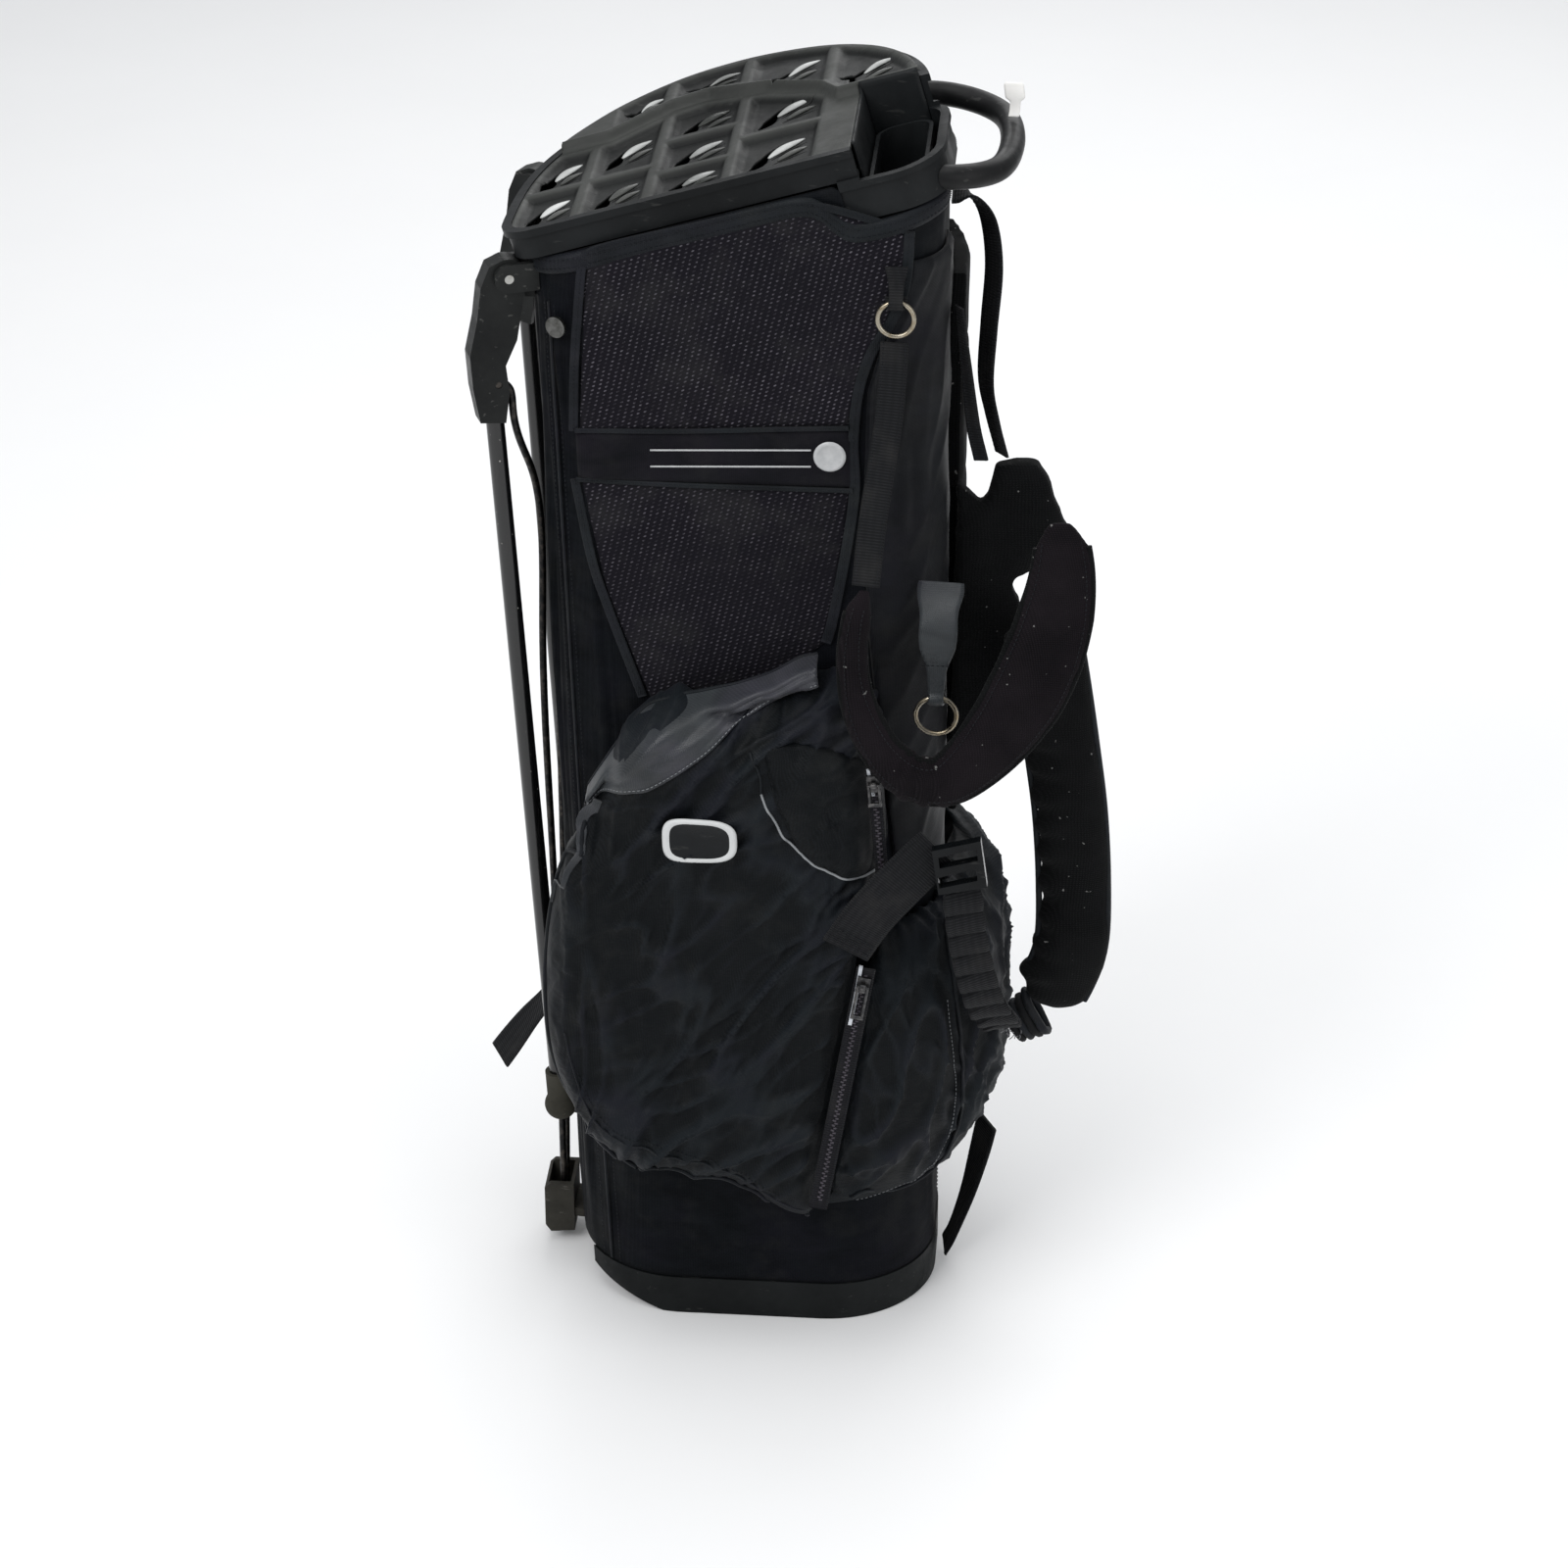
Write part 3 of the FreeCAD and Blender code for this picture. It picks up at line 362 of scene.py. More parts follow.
M = {
    "shell": nylon("shell_cloth", (0.0035, 0.0045, 0.006), (0.011, 0.0135, 0.017), 0.6, 0.0012),
    # pocket cloth with folds on: painted light on its crease ridges and painted shade in their valleys
    "pocket": nylon("pocket_nylon", (0.0028, 0.0042, 0.0055), (0.0155, 0.0205, 0.0255), 0.5, 0.0011, 0.003,
                    0.015, 0.09, True),
    # grey trim cloth; its light colour is partly the grey of the trim and partly painted sheen
    "trim_and_sheen": nylon("trim_cloth_and_sheen", (0.018, 0.023, 0.028), (0.065, 0.076, 0.084), 0.34, 0.0009, 0.001, 0.1,
                  0.3),
    "panel": nylon("panel_cloth", (0.003, 0.0036, 0.005), (0.012, 0.014, 0.018), 0.45, 0.001, 0.001, 0.03,
                   0.1),
    "band": nylon("band_cloth", (0.007, 0.0075, 0.01), (0.018, 0.018, 0.023), 0.6, 0.0009, 0.0006, 0.03),
    "bind": nylon("binding_cloth", (0.007, 0.009, 0.0115), (0.022, 0.027, 0.032), 0.5, 0.0009, 0.0006, 0.03,
                  0.1),
    "mesh": spacer_mesh(),
    "pad": pad_cloth("pad_cloth", (0.0028, 0.0032, 0.0035), (0.0085, 0.009, 0.0095)),
    "padmesh": pad_cloth("pad_mesh", (0.0045, 0.0035, 0.0048), (0.015, 0.0115, 0.0145), 0.0012),
    "web": webbing_mat("webbing_weave"),
    "cuff": plastic("cuff_plastic", (0.008, 0.0095, 0.0105), (0.024, 0.027, 0.029), 0.5, 0.35),
    # divider: raised ribs painted paler (partly wear, partly painted highlight), sunken cells darker as
    # painted shade
    "divider": plastic("divider_plastic", (0.010, 0.011, 0.011), (0.026, 0.028, 0.027), 0.5, 0.3, 1200,
                       rib_wear_and_highlight=True),
    "tongue": plastic("tongue_rubber", (0.02, 0.022, 0.02), (0.07, 0.072, 0.068), 0.26, 0.3, 700,
                      (0.2, 0.2, 0.19), depth=1),
    # pale leaves: a painted highlight, the glint of the glossy rubber laid into the base colour
    "tongue_highlight": plastic("tongue_painted_highlight", (0.16, 0.165, 0.16), (0.5, 0.51, 0.5), 0.24, 0.3, 700,
                           (0.7, 0.7, 0.68), depth=1),
    "base": plastic("base_moulding", (0.005, 0.0068, 0.0075), (0.018, 0.021, 0.022), 0.6, 0.6),
    "dusty": plastic("dusty_moulding", (0.022, 0.021, 0.018), (0.085, 0.08, 0.066), 0.7, 0.6, 600,
                     (0.17, 0.16, 0.14), depth=0.6),
    "elbow": plastic("elbow_moulding", (0.012, 0.0135, 0.014), (0.045, 0.048, 0.046), 0.42, 0.7, 900,
                     (0.15, 0.15, 0.14)),
    "handle": plastic("handle_rubber", (0.009, 0.0095, 0.0105), (0.035, 0.035, 0.036), 0.4, 0.5),
    "gloss": plastic("buckle_plastic", (0.006, 0.007, 0.008), (0.018, 0.021, 0.024), 0.2, 0.3),
    "paint": paint_mat(),
    "rod": metal("rod_steel", (0.02, 0.02, 0.021), 0.4, (0.09, 0.08, 0.07)),
    "steel": metal("pin_steel", (0.42, 0.42, 0.40), 0.35, (0.2, 0.17, 0.13)),
    "ring": metal("ring_plate", (0.34, 0.31, 0.25), 0.24, (0.24, 0.18, 0.10)),
    "rivet": metal("rivet_worn", (0.13, 0.13, 0.125), 0.3, (0.05, 0.05, 0.045)),
    "zipmetal": metal("zip_metal", (0.05, 0.05, 0.052), 0.32, (0.16, 0.155, 0.15)),
    "inner": nylon("lining", (0.003, 0.003, 0.004), (0.008, 0.008, 0.01), 0.8, 0.001),
    "foot": plastic("foot_rubber", (0.03, 0.028, 0.022), (0.10, 0.095, 0.075), 0.8, 0.4, 500,
                    (0.17, 0.16, 0.13)),
    "paper": simple_tint("tag_paper", (0.72, 0.71, 0.68), (0.88, 0.87, 0.85), 0.7, 90),
    "piping": simple_tint("pale_piping", (0.10, 0.11, 0.12), (0.30, 0.31, 0.32), 0.4, 120),
    "reflect": simple_tint("reflective_line", (0.28, 0.29, 0.30), (0.5, 0.5, 0.5), 0.35, 200),
    "worn": simple_tint("worn_backing", (0.10, 0.10, 0.08), (0.26, 0.25, 0.21), 0.9, 130, 0.001),
    "pale_worn": simple_tint("worn_coating", (0.16, 0.21, 0.24), (0.38, 0.44, 0.47), 0.7, 140, 0.0008),
    "fluff": simple_tint("raised_fibre", (0.10, 0.10, 0.11), (0.26, 0.26, 0.27), 0.95, 300, 0.001),
    "badge": simple_tint("badge_rubber", (0.45, 0.46, 0.46), (0.60, 0.61, 0.61), 0.4, 80),
    "tape": webbing_mat("zip_tape", (0.005, 0.005, 0.007), (0.018, 0.018, 0.024)),
    "zipteeth": simple_tint("zip_coil", (0.012, 0.010, 0.014), (0.05, 0.042, 0.055), 0.35, 220),
    "silver": simple_tint("zip_edge", (0.32, 0.34, 0.37), (0.62, 0.64, 0.68), 0.3, 150),
}


# ------------------------------------------------------------------ mesh building
def add_object(name, data):
    """A new object in the scene."""
    o = bpy.data.objects.new(name, data)
    bpy.context.scene.collection.objects.link(o)
    return o


def round_off(me):
    """Smooth shading all over a mesh."""
    for p in me.polygons:
        p.use_smooth = True


def wall(o, thickness, offset=-1.0):
    """Gives a sheet its thickness, in metres: inward, or about its middle with offset 0."""
    mod = o.modifiers.new("Wall", "SOLIDIFY")
    mod.thickness = thickness
    mod.offset = offset


def new_mesh(name, verts, faces, mat, body="bag", smooth=True, uvs=None):
    """A mesh from points in metres, riding on a body unless body is None."""
    me = bpy.data.meshes.new(name)
    me.from_pydata([tuple(v) for v in verts], [], faces)
    me.validate()
    me.update()
    if uvs is not None:
        layer = me.uv_layers.new(name="UVMap")
        for loop in me.loops:
            layer.data[loop.index].uv = uvs[loop.vertex_index]
    o = add_object(name, me)
    if mat is not None:
        me.materials.append(mat)
    for p in me.polygons:
        p.use_smooth = smooth
    if body:
        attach(o, body)
    return o


def grid_faces(nu, nv, close_u=False, close_v=False):
    """Faces over nu rows of nv points, closed round in either direction."""
    faces = []
    for i in range(nu if close_u else nu - 1):
        for j in range(nv if close_v else nv - 1):
            a, b = i, (i + 1) % nu
            c, d = j, (j + 1) % nv
            faces.append((a * nv + c, b * nv + c, b * nv + d, a * nv + d))
    return faces


def ring_faces(rings, m):
    """Faces between closed rings of m points each."""
    return [(i * m + k, i * m + (k + 1) % m, (i + 1) * m + (k + 1) % m, (i + 1) * m + k)
            for i in range(rings - 1) for k in range(m)]


def curve(points, n, closed=False):
    """Catmull-Rom through points, n samples evenly spaced."""
    P = [Vector(p) for p in points]
    m = len(P)
    out = []
    segs = m if closed else m - 1
    for i in range(segs):
        a = P[(i - 1) % m] if closed or i > 0 else P[0] * 2 - P[1]
        b, c = P[i], P[(i + 1) % m]
        d = P[(i + 2) % m] if closed or i + 2 < m else P[-1] * 2 - P[-2]
        for k in range(16):
            t = k / 16
            out.append(0.5 * ((2 * b) + (c - a) * t + (2 * a - 5 * b + 4 * c - d) * t * t
                              + (3 * b - a - 3 * c + d) * t ** 3))
    if not closed:
        out.append(P[-1])
    ring = out + [out[0]] if closed else out
    acc = [0.0]
    for i in range(1, len(ring)):
        acc.append(acc[-1] + (ring[i] - ring[i - 1]).length)
    res = []
    k = 0
    count = n if closed else n - 1
    for i in range(n):
        s = acc[-1] * i / count
        while k < len(acc) - 2 and acc[k + 1] < s:
            k += 1
        f = (s - acc[k]) / max(acc[k + 1] - acc[k], 1e-9)
        res.append(ring[k].lerp(ring[k + 1], f))
    return res


def tangents(pts, closed=False):
    """Direction of the line at each point."""
    n = len(pts)
    out = []
    for i in range(n):
        a = pts[(i - 1) % n] if closed or i else pts[0]
        b = pts[(i + 1) % n] if closed or i < n - 1 else pts[-1]
        out.append((b - a).normalized())
    return out


def in_view(f, t):
    """Width direction of a strap that shows its full width from the near side."""
    return t.cross(Vector((0, 1, 0)))


def tube(name, points, r, mat, n=48, sides=10, closed=False, raw=False):
    """A round bar or cord of piping through points, in mm."""
    pts = [Vector(p) for p in points] if raw else curve(points, n, closed)
    tg = tangents(pts, closed)
    ref = Vector((0, 0, 1)) if abs(tg[0].z) < 0.9 else Vector((1, 0, 0))
    u = (ref - tg[0] * ref.dot(tg[0])).normalized()
    verts = []
    for i, p in enumerate(pts):
        u = (u - tg[i] * u.dot(tg[i])).normalized()
        w = tg[i].cross(u)
        for k in range(sides):
            a = 2 * math.pi * k / sides
            verts.append((p + u * math.cos(a) * r + w * math.sin(a) * r) * MM)
    faces = grid_faces(len(pts), sides, closed, True)
    if not closed:
        faces.append(tuple(range(sides - 1, -1, -1)))
        base = (len(pts) - 1) * sides
        faces.append(tuple(base + k for k in range(sides)))
    return new_mesh(name, verts, faces, mat, "bag")


def band(name, points, width, thick, across, mat, slot=None, n=60, crown=0.0, edge=True, raw=False):
    """Webbing or tape: a flat strip with rounded, slightly thicker edges and UVs along its length, in mm."""
    pts = [Vector(p) for p in points] if raw else curve(points, n)
    n = len(pts)
    tg = tangents(pts)
    m = 10
    prof = [(-1 + 2 * k / m, 1) for k in range(m + 1)] + [(1 - 2 * k / m, -1) for k in range(m + 1)]
    verts, uvs = [], []
    run = 0.0
    for i, p in enumerate(pts):
        if i:
            run += (p - pts[i - 1]).length
        f = i / (n - 1)
        a = across(f, tg[i]) if callable(across) else Vector(across)
        wv = (a - tg[i] * a.dot(tg[i])).normalized()
        nv = tg[i].cross(wv).normalized()
        w = width(f) if callable(width) else width
        for s, side in prof:
            e = abs(s)
            t = thick / 2 * (1.0 if e < 0.72 else (1.25 if e < 0.93 else 0.75)) if edge else thick / 2
            lift = crown * (1 - s * s)
            q = p + wv * (s * w / 2) + nv * (side * t + lift)
            verts.append(q * MM)
            uvs.append((run * MM, (s + 1) * w / 2 * MM))
    faces = grid_faces(n, len(prof), False, True)
    c = len(prof)
    faces.append(tuple(range(c - 1, -1, -1)))
    faces.append(tuple((n - 1) * c + k for k in range(c)))
    return new_mesh(name, verts, faces, mat, "bag", True, uvs)


def stitches(name, points, mat, pitch=3.2, length=2.1, r=0.34, raw=False, n=200):
    """A row of separate thread stitches along a line, in mm."""
    pts = [Vector(p) for p in points] if raw else curve(points, n)
    acc = [0.0]
    for i in range(1, len(pts)):
        acc.append(acc[-1] + (pts[i] - pts[i - 1]).length)
    verts, faces = [], []
    s = 0.0

    def at(d):
        k = 0
        while k < len(acc) - 2 and acc[k + 1] < d:
            k += 1
        return pts[k].lerp(pts[k + 1], (d - acc[k]) / max(acc[k + 1] - acc[k], 1e-9))

    while s + length < acc[-1]:
        a, b = at(s), at(s + length)
        t = (b - a).normalized()
        u = t.orthogonal().normalized()
        w = t.cross(u)
        base = len(verts)
        for p, rr in ((a, 0.4), (a.lerp(b, 0.3), 1.0), (a.lerp(b, 0.7), 1.0), (b, 0.4)):
            for q in range(5):
                g = 2 * math.pi * q / 5
                verts.append((p + (u * math.cos(g) + w * math.sin(g)) * r * rr) * MM)
        for i in range(3):
            for q in range(5):
                low, high = base + i * 5, base + (i + 1) * 5
                faces.append((low + q, low + (q + 1) % 5, high + (q + 1) % 5, high + q))
        faces.append(tuple(base + q for q in range(4, -1, -1)))
        faces.append(tuple(base + 15 + q for q in range(5)))
        s += pitch
    return new_mesh(name, verts, faces, mat)


def soften(o, mat, slot, voxel, cap=5.0, pressure=4.0, shrink=1.5, wrinkle=None, fill=0.5, frames=14,
           stands_for=()):
    """Turns a closed form into a padded piece: remeshed, swollen as cloth, subdivided, then creased."""
    o.data.materials.clear()
    o.data.materials.append(mat)
    mod = o.modifiers.new("Remesh", "REMESH")
    mod.mode = "VOXEL"
    mod.voxel_size = voxel * MM
    bake(o)
    for v, nn in [(v, v.normal.copy()) for v in o.data.vertices]:
        v.co -= nn * shrink * MM
    start = [v.co.copy() for v in o.data.vertices]
    cl = o.modifiers.new("Cloth", "CLOTH")
    cl.settings.quality = 4
    cl.settings.mass = 0.3
    cl.settings.use_pressure = True
    cl.settings.uniform_pressure_force = pressure
    cl.settings.effector_weights.gravity = 0
    cl.settings.tension_stiffness = 12
    cl.settings.compression_stiffness = 12
    cl.settings.bending_stiffness = 0.4
    cl.point_cache.frame_start = 1
    cl.point_cache.frame_end = frames
    for f in range(1, frames + 1):
        bpy.context.scene.frame_set(f)
    bake(o)
    bpy.context.scene.frame_set(1)
    for v, s in zip(o.data.vertices, start):
        d = v.co - s
        if d.length > cap * MM:
            v.co = s + d.normalized() * cap * MM
    mod = o.modifiers.new("Sub", "SUBSURF")
    mod.levels = mod.render_levels = 1
    bake(o)
    # crease depth kept per point as fold; cloth with folds on paints light on the ridges and shade in the
    # valleys from it
    fold = o.data.attributes.new("fold", "FLOAT", "POINT")
    for v, nn in [(v, v.normal.copy()) for v in o.data.vertices]:
        w = wrinkle(v.co / MM, nn)
        fold.data[v.index].value = max(0.0, min(1.0, 0.42 + w / 9.0))
        v.co += nn * w * MM
    round_off(o.data)
    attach(o, "bag")
    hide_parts(*stands_for)
    return o


def soft_from(node, name, mat, slot, voxel, **kw):
    o = add_object(name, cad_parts[node].data.copy())
    return soften(o, mat, slot, voxel, stands_for=(node,), **kw)


def crease(p, angle, along, across, seed, sharp=3.0):
    """0..1 ridge lines running at an angle in the plane of the near face."""
    c, s = math.cos(math.radians(angle)), math.sin(math.radians(angle))
    u, w = p.x * c + p.z * s, -p.x * s + p.z * c
    w += 16 * field(p.x * 0.011, p.z * 0.011, seed + 5)
    n = field(u / along, w / across, seed)
    return max(0.0, 1 - abs(n) * sharp) ** 1.5


def bake(o):
    """Applies the modifiers to the mesh."""
    dg = bpy.context.evaluated_depsgraph_get()
    dg.update()
    me = bpy.data.meshes.new_from_object(o.evaluated_get(dg))
    o.modifiers.clear()
    o.data = me


# ------------------------------------------------------------------ shell
SEAM_FOOT = 32


def seam_line(s):
    """Points up the body, just outside it, at one perimeter parameter."""
    pts = []
    for z in range(SEAM_FOOT, 800, 24):
        (x, y), _ = around(s, z, 0.5)
        pts.append((x, y, z))
    return pts


def build_shell():
    """Fabric tube: gathered folds on the leg side and near left, a flatter strap side, thickened inward."""
    rows, cols = 190, 300
    z0 = 30.6
    verts = []

    def crest(x):
        """Height of the upper edge, along the cuff's own step."""
        l20 = RIM_Z + (x * ST - 20.6) / CT
        l48 = RIM_Z + (x * ST - 48.6) / CT
        slant = RIM_Z + (57.6 - x * CT) / ST
        return (l20 if slant > l20 else max(l48, slant)) - 0.9

    for i in range(cols):
        s = 8.0 * i / cols
        for j in range(rows):
            f = j / (rows - 1)
            (x, _), _ = around(s, 800)
            zt = crest(x)
            z = z0 + (zt - z0) * f
            (x, y), n = around(s, z)
            notch = abs(y) < 24 and x < -100 and z < 52
            left = max(0.0, min(1.0, (-60 - x) / 40))
            fade = min(1.0, (zt - z) / 60) * min(1.0, (z - z0) / 60 + 0.1)
            g = field(s * 9.0 + 0.5 * field(s * 3, z * 0.004, 2), z * 0.0028, 4.2)
            h = field(s * 22.0, z * 0.006, 9.1)
            d = fade * (left * (3.4 * abs(g) * 2 - 2.6 + 1.0 * h) + (1 - left) * (0.7 * g - 0.4))
            back = max(0.0, min(1.0, (y - 20) / 40))
            d += fade * back * (1.8 * field(x * 0.02 + z * 0.008, y * 0.02, z * 0.013) - 0.6)
            if notch:
                z = max(z, 48.5)
            verts.append(((x + n[0] * d) * MM, (y + n[1] * d) * MM, z * MM))
    faces = grid_faces(cols, rows, True, False)
    shell = new_mesh("shell_cloth_tube", verts, faces, M["shell"], "bag")
    wall(shell, 0.0028)
    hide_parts("bag_shell")
    # three seams of piping down the body, each between two rows of stitching
    for k, s in enumerate((7.55, 4.9, 3.15)):
        tube("body_seam_%d" % k, seam_line(s), 1.1, M["bind"], n=90, sides=8)
        for off in (-0.07, 0.07):
            stitches("seam_thread_%d_%d" % (k, off > 0), seam_line(s + off), M["bind"], pitch=3.4, n=260)


build_shell()


# (out from the body, up from the band's upper edge)
BINDING_PROFILE = ((0.4, 0), (2.2, -0.6), (3.2, -2.5), (3.2, -10), (2.4, -12.5), (0.6, -13.2), (-0.5, -13))


def binding_edge(s):
    """Height of the band's upper edge, which drops to the cuff's deeper skirt on the strap side."""
    (x, _), _ = around(s, 820, 0.8)
    skirt = 1 / (1 + math.exp(-(x / CT - 60) / 6))
    return RIM_Z + x * ST / CT - (20.8 + 28 * skirt) / CT - 0.5


def build_binding():
    """Folded band under the cuff, following its step, with two rows of stitching."""
    cols = 220
    verts = []
    for i in range(cols):
        s = 8.0 * i / cols
        zt = binding_edge(s)
        for g, dz in BINDING_PROFILE:
            (x, y), _ = around(s, zt + dz, g)
            verts.append((x * MM, y * MM, (zt + dz) * MM))
    faces = grid_faces(cols, len(BINDING_PROFILE), True, False)
    new_mesh("cuff_binding", verts, faces, M["bind"], "bag")
    for k, dz in enumerate((-3.6, -9.4)):
        line = []
        for i in range(cols + 1):
            s = 8.0 * i / cols
            z = binding_edge(s) + dz
            (x, y), _ = around(s, z, 3.5)
            line.append((x, y, z))
        stitches("binding_thread_%d" % k, line, M["bind"], raw=True, pitch=3.4)


build_binding()


# ------------------------------------------------------------------ near face panels
def inside(poly, x, z):
    """Whether (x, z) lies inside the polygon."""
    r = False
    n = len(poly)
    for i in range(n):
        x1, z1 = poly[i]
        x2, z2 = poly[(i + 1) % n]
        if (z1 > z) != (z2 > z) and x < (x2 - x1) * (z - z1) / (z2 - z1) + x1:
            r = not r
    return r


def edge_distance(poly, x, z):
    """Distance from (x, z) to the polygon's edge."""
    best = 1e9
    n = len(poly)
    for i in range(n):
        x1, z1 = poly[i]
        x2, z2 = poly[(i + 1) % n]
        dx, dz = x2 - x1, z2 - z1
        t = max(0, min(1, ((x - x1) * dx + (z - z1) * dz) / (dx * dx + dz * dz)))
        best = min(best, math.hypot(x - x1 - t * dx, z - z1 - t * dz))
    return best


def near_panel(name, poly, lift, mat, node, step=2.4, bulge=1.6, sag=None):
    """Fabric set into the near face inside an outline of (x, z) points, crowned, with a turned-in edge."""
    me = bmesh.new()
    dense = []
    for i, (x, z) in enumerate(poly):
        x2, z2 = poly[(i + 1) % len(poly)]
        n = max(1, int(math.hypot(x2 - x, z2 - z) / step))
        for k in range(n):
            dense.append((x + (x2 - x) * k / n, z + (z2 - z) * k / n))
    vs = [me.verts.new((x, 0, z)) for x, z in dense]
    me.faces.new(vs)
    xs = [p[0] for p in poly]
    zs = [p[1] for p in poly]
    x = math.floor(min(xs)) + step
    while x < max(xs):
        geom = me.verts[:] + me.edges[:] + me.faces[:]
        bmesh.ops.bisect_plane(me, geom=geom, plane_co=(x, 0, 0), plane_no=(1, 0, 0))
        x += step
    z = math.floor(min(zs)) + step
    while z < max(zs):
        geom = me.verts[:] + me.edges[:] + me.faces[:]
        bmesh.ops.bisect_plane(me, geom=geom, plane_co=(0, 0, z), plane_no=(0, 0, 1))
        z += step
    mesh = bpy.data.meshes.new(name)
    me.to_mesh(mesh)
    me.free()
    for v in mesh.vertices:
        x, z = v.co.x, v.co.z
        d = edge_distance(poly, x, z)
        up = lift * min(1.0, d / 2.0) ** 0.5 + bulge * min(1.0, d / 26.0)
        if sag:
            up += sag(x, z) * min(1.0, d / 10.0)
        v.co.y = near_y(x, z, 0.3) - up
        v.co *= MM
    o = add_object(name, mesh)
    mesh.materials.append(mat)
    round_off(mesh)
    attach(o, "bag")
    if node:
        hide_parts(node)
    return o


def on_near(x, z, g=0.0):
    return (x, near_y(x, z, 0.3) - g, z)


UPPER = [(-98, 808), (-88, 815), (-30, 831), (28, 846), (46, 847), (62, 845), (102, 833), (106, 826),
         (102, 790), (90, 760), (78, 735), (70, 700), (-104, 690)]
BAND = [(-107, 689), (-100, 690), (69, 699), (73, 690), (74, 657), (-106, 656)]
LOWER = [(-104, 655), (72, 655), (67, 613), (62, 575), (57, 545), (28, 521), (-20, 506), (-60, 496),
         (-88, 575)]


def cloth_sag(x, z):
    return 1.1 * field(x * 0.018, z * 0.014, 3.0) + 0.35 * field(x * 0.06, z * 0.05, 8.0)


def band_sag(x, z):
    return 0.5 * cloth_sag(x, z)


near_panel("mesh_upper_cloth", UPPER, 1.6, M["mesh"], "mesh_upper", sag=cloth_sag)
near_panel("mesh_band_cloth", BAND, 3.2, M["band"], "mesh_band", sag=band_sag)
near_panel("mesh_lower_cloth", LOWER, 1.6, M["mesh"], "mesh_lower", sag=cloth_sag)


def frame_band(name, pts, w=5.0, g=2.2, mat="bind"):
    """Bound edge of a panel: a narrow folded tape laid over the joint, with its stitching."""
    path = [on_near(x, z, g) for x, z in pts]
    band(name, path, w, 1.2, in_view, M[mat], slot="band_fabric", n=110, crown=0.3)
    stitches(name + "_thread", [(p[0], p[1] - 0.95, p[2]) for p in path], M["bind"], n=220)


frame_band("bound_left_upper", [(-108, 690), (-106, 740), (-101, 795), (-99, 810)], 6)
frame_band("bound_left_lower", [(-108, 656), (-98, 600), (-88, 566), (-66, 500)], 6)
frame_band("bound_top", [(-101, 809), (-88, 818), (-30, 834), (28, 849), (46, 850), (62, 848), (104, 835)],
           5)
frame_band("bound_right", [(107, 834), (105, 800), (97, 775), (84, 752), (76, 725), (73, 690), (74, 655),
                           (69, 613), (60, 560), (56, 545)], 7)
frame_band("band_top_edge", [(-107, 691), (-40, 694), (30, 698), (70, 700)], 3.2, 3.6)
frame_band("band_low_edge", [(-107, 656), (-40, 656), (30, 656), (73, 656)], 3.2, 3.6)

# two thin reflective lines and a plain disc on the band
for k, z in enumerate((-5.5, 6.0)):
    path = [on_near(x, 676 + z + (x + 20) * 0.035, 5.0) for x in range(-58, 48, 4)]
    band("reflective_line_%d" % k, path, 1.1, 0.25, (0, 0, 1), M["reflect"], slot="band_fabric", raw=True,
         edge=False)


def disc(name, x, z, r, mat, g, rings=((1.0, 0.0), (0.92, 0.9), (0.78, 0.9), (0.70, 0.2), (0.0, 0.2))):
    """A flat disc with a raised rim on the near face; rings are (share of the radius, height)."""
    verts = []
    m = 40
    for rr, h in rings:
        for k in range(m):
            a = 2 * math.pi * k / m
            px, pz = x + r * rr * math.cos(a), z + r * rr * math.sin(a)
            verts.append((px * MM, (near_y(px, pz, 0.3) - g - h) * MM, pz * MM))
    return new_mesh(name, verts, ring_faces(len(rings), m), mat, "bag")


disc("plain_disc", 58, 680, 10.5, M["reflect"], 4.6)


# ------------------------------------------------------------------ camera, light, floor
def studio():
    """Camera fitted to the photograph, four soft lamps and a pale floor."""
    cam = bpy.data.cameras.new("camera")
    cam.lens = 101.67
    cam.sensor_width = 36
    o = add_object("camera", cam)
    o.location = (0.2353, -2.6897, 1.870)
    aim = Vector((0.0203, 0, 0.38125))
    o.rotation_euler = (aim - o.location).to_track_quat("-Z", "Y").to_euler()
    bpy.context.scene.camera = o
    for name, at, size, power in (("key", (-1.6, -2.4, 2.6), 1.8, 60), ("fill", (2.2, -1.8, 1.5), 2.2, 20),
                                  ("back", (0.4, 2.4, 2.4), 2.4, 35),
                                  ("overhead", (0, -0.2, 3.0), 2.0, 35)):
        lamp = bpy.data.lights.new(name, "AREA")
        lamp.size = size
        lamp.energy = power
        l = add_object(name, lamp)
        l.location = at
        l.rotation_euler = (Vector((0, 0, 0.45)) - l.location).to_track_quat("-Z", "Y").to_euler()
    world = bpy.data.worlds.new("world")
    world.use_nodes = True
    world.node_tree.nodes["Background"].inputs[0].default_value = (0.95, 0.97, 1.0, 1)
    world.node_tree.nodes["Background"].inputs[1].default_value = 0.5
    bpy.context.scene.world = world
    bpy.context.scene.view_settings.view_transform = "Standard"
    floor_mat = simple_tint("pale_floor", (0.86, 0.86, 0.86), (0.9, 0.9, 0.9), 0.8, 3, 0.0)
    size = 14.0
    sweep = [(-size, -size, 0), (size, -size, 0), (size, size, 0), (-size, size, 0)]
    floor = new_mesh("floor", [(x, y, -0.0005) for x, y, z in sweep], [(0, 1, 2, 3)], floor_mat, body=None)


studio()


# ------------------------------------------------------------------ divided top, in the tilted frame
CUFF = [(-157.5, -70), (-156, -40), (-150, 1), (-137, 36), (-120, 63), (-95, 90), (-58, 112), (-20, 119),
        (15, 115), (50, 102), (80, 79), (101, 50), (113, 18), (117.5, -12)]
STEP = [(-175, 35), (-101, 36), (-60, 66), (-36, 70), (5, 56), (43, 30), (56, 7), (150, 7)]
RIBS = (-109.5, -62.6, -9.4, 50.0)
WELL = (71.5, 7.5)


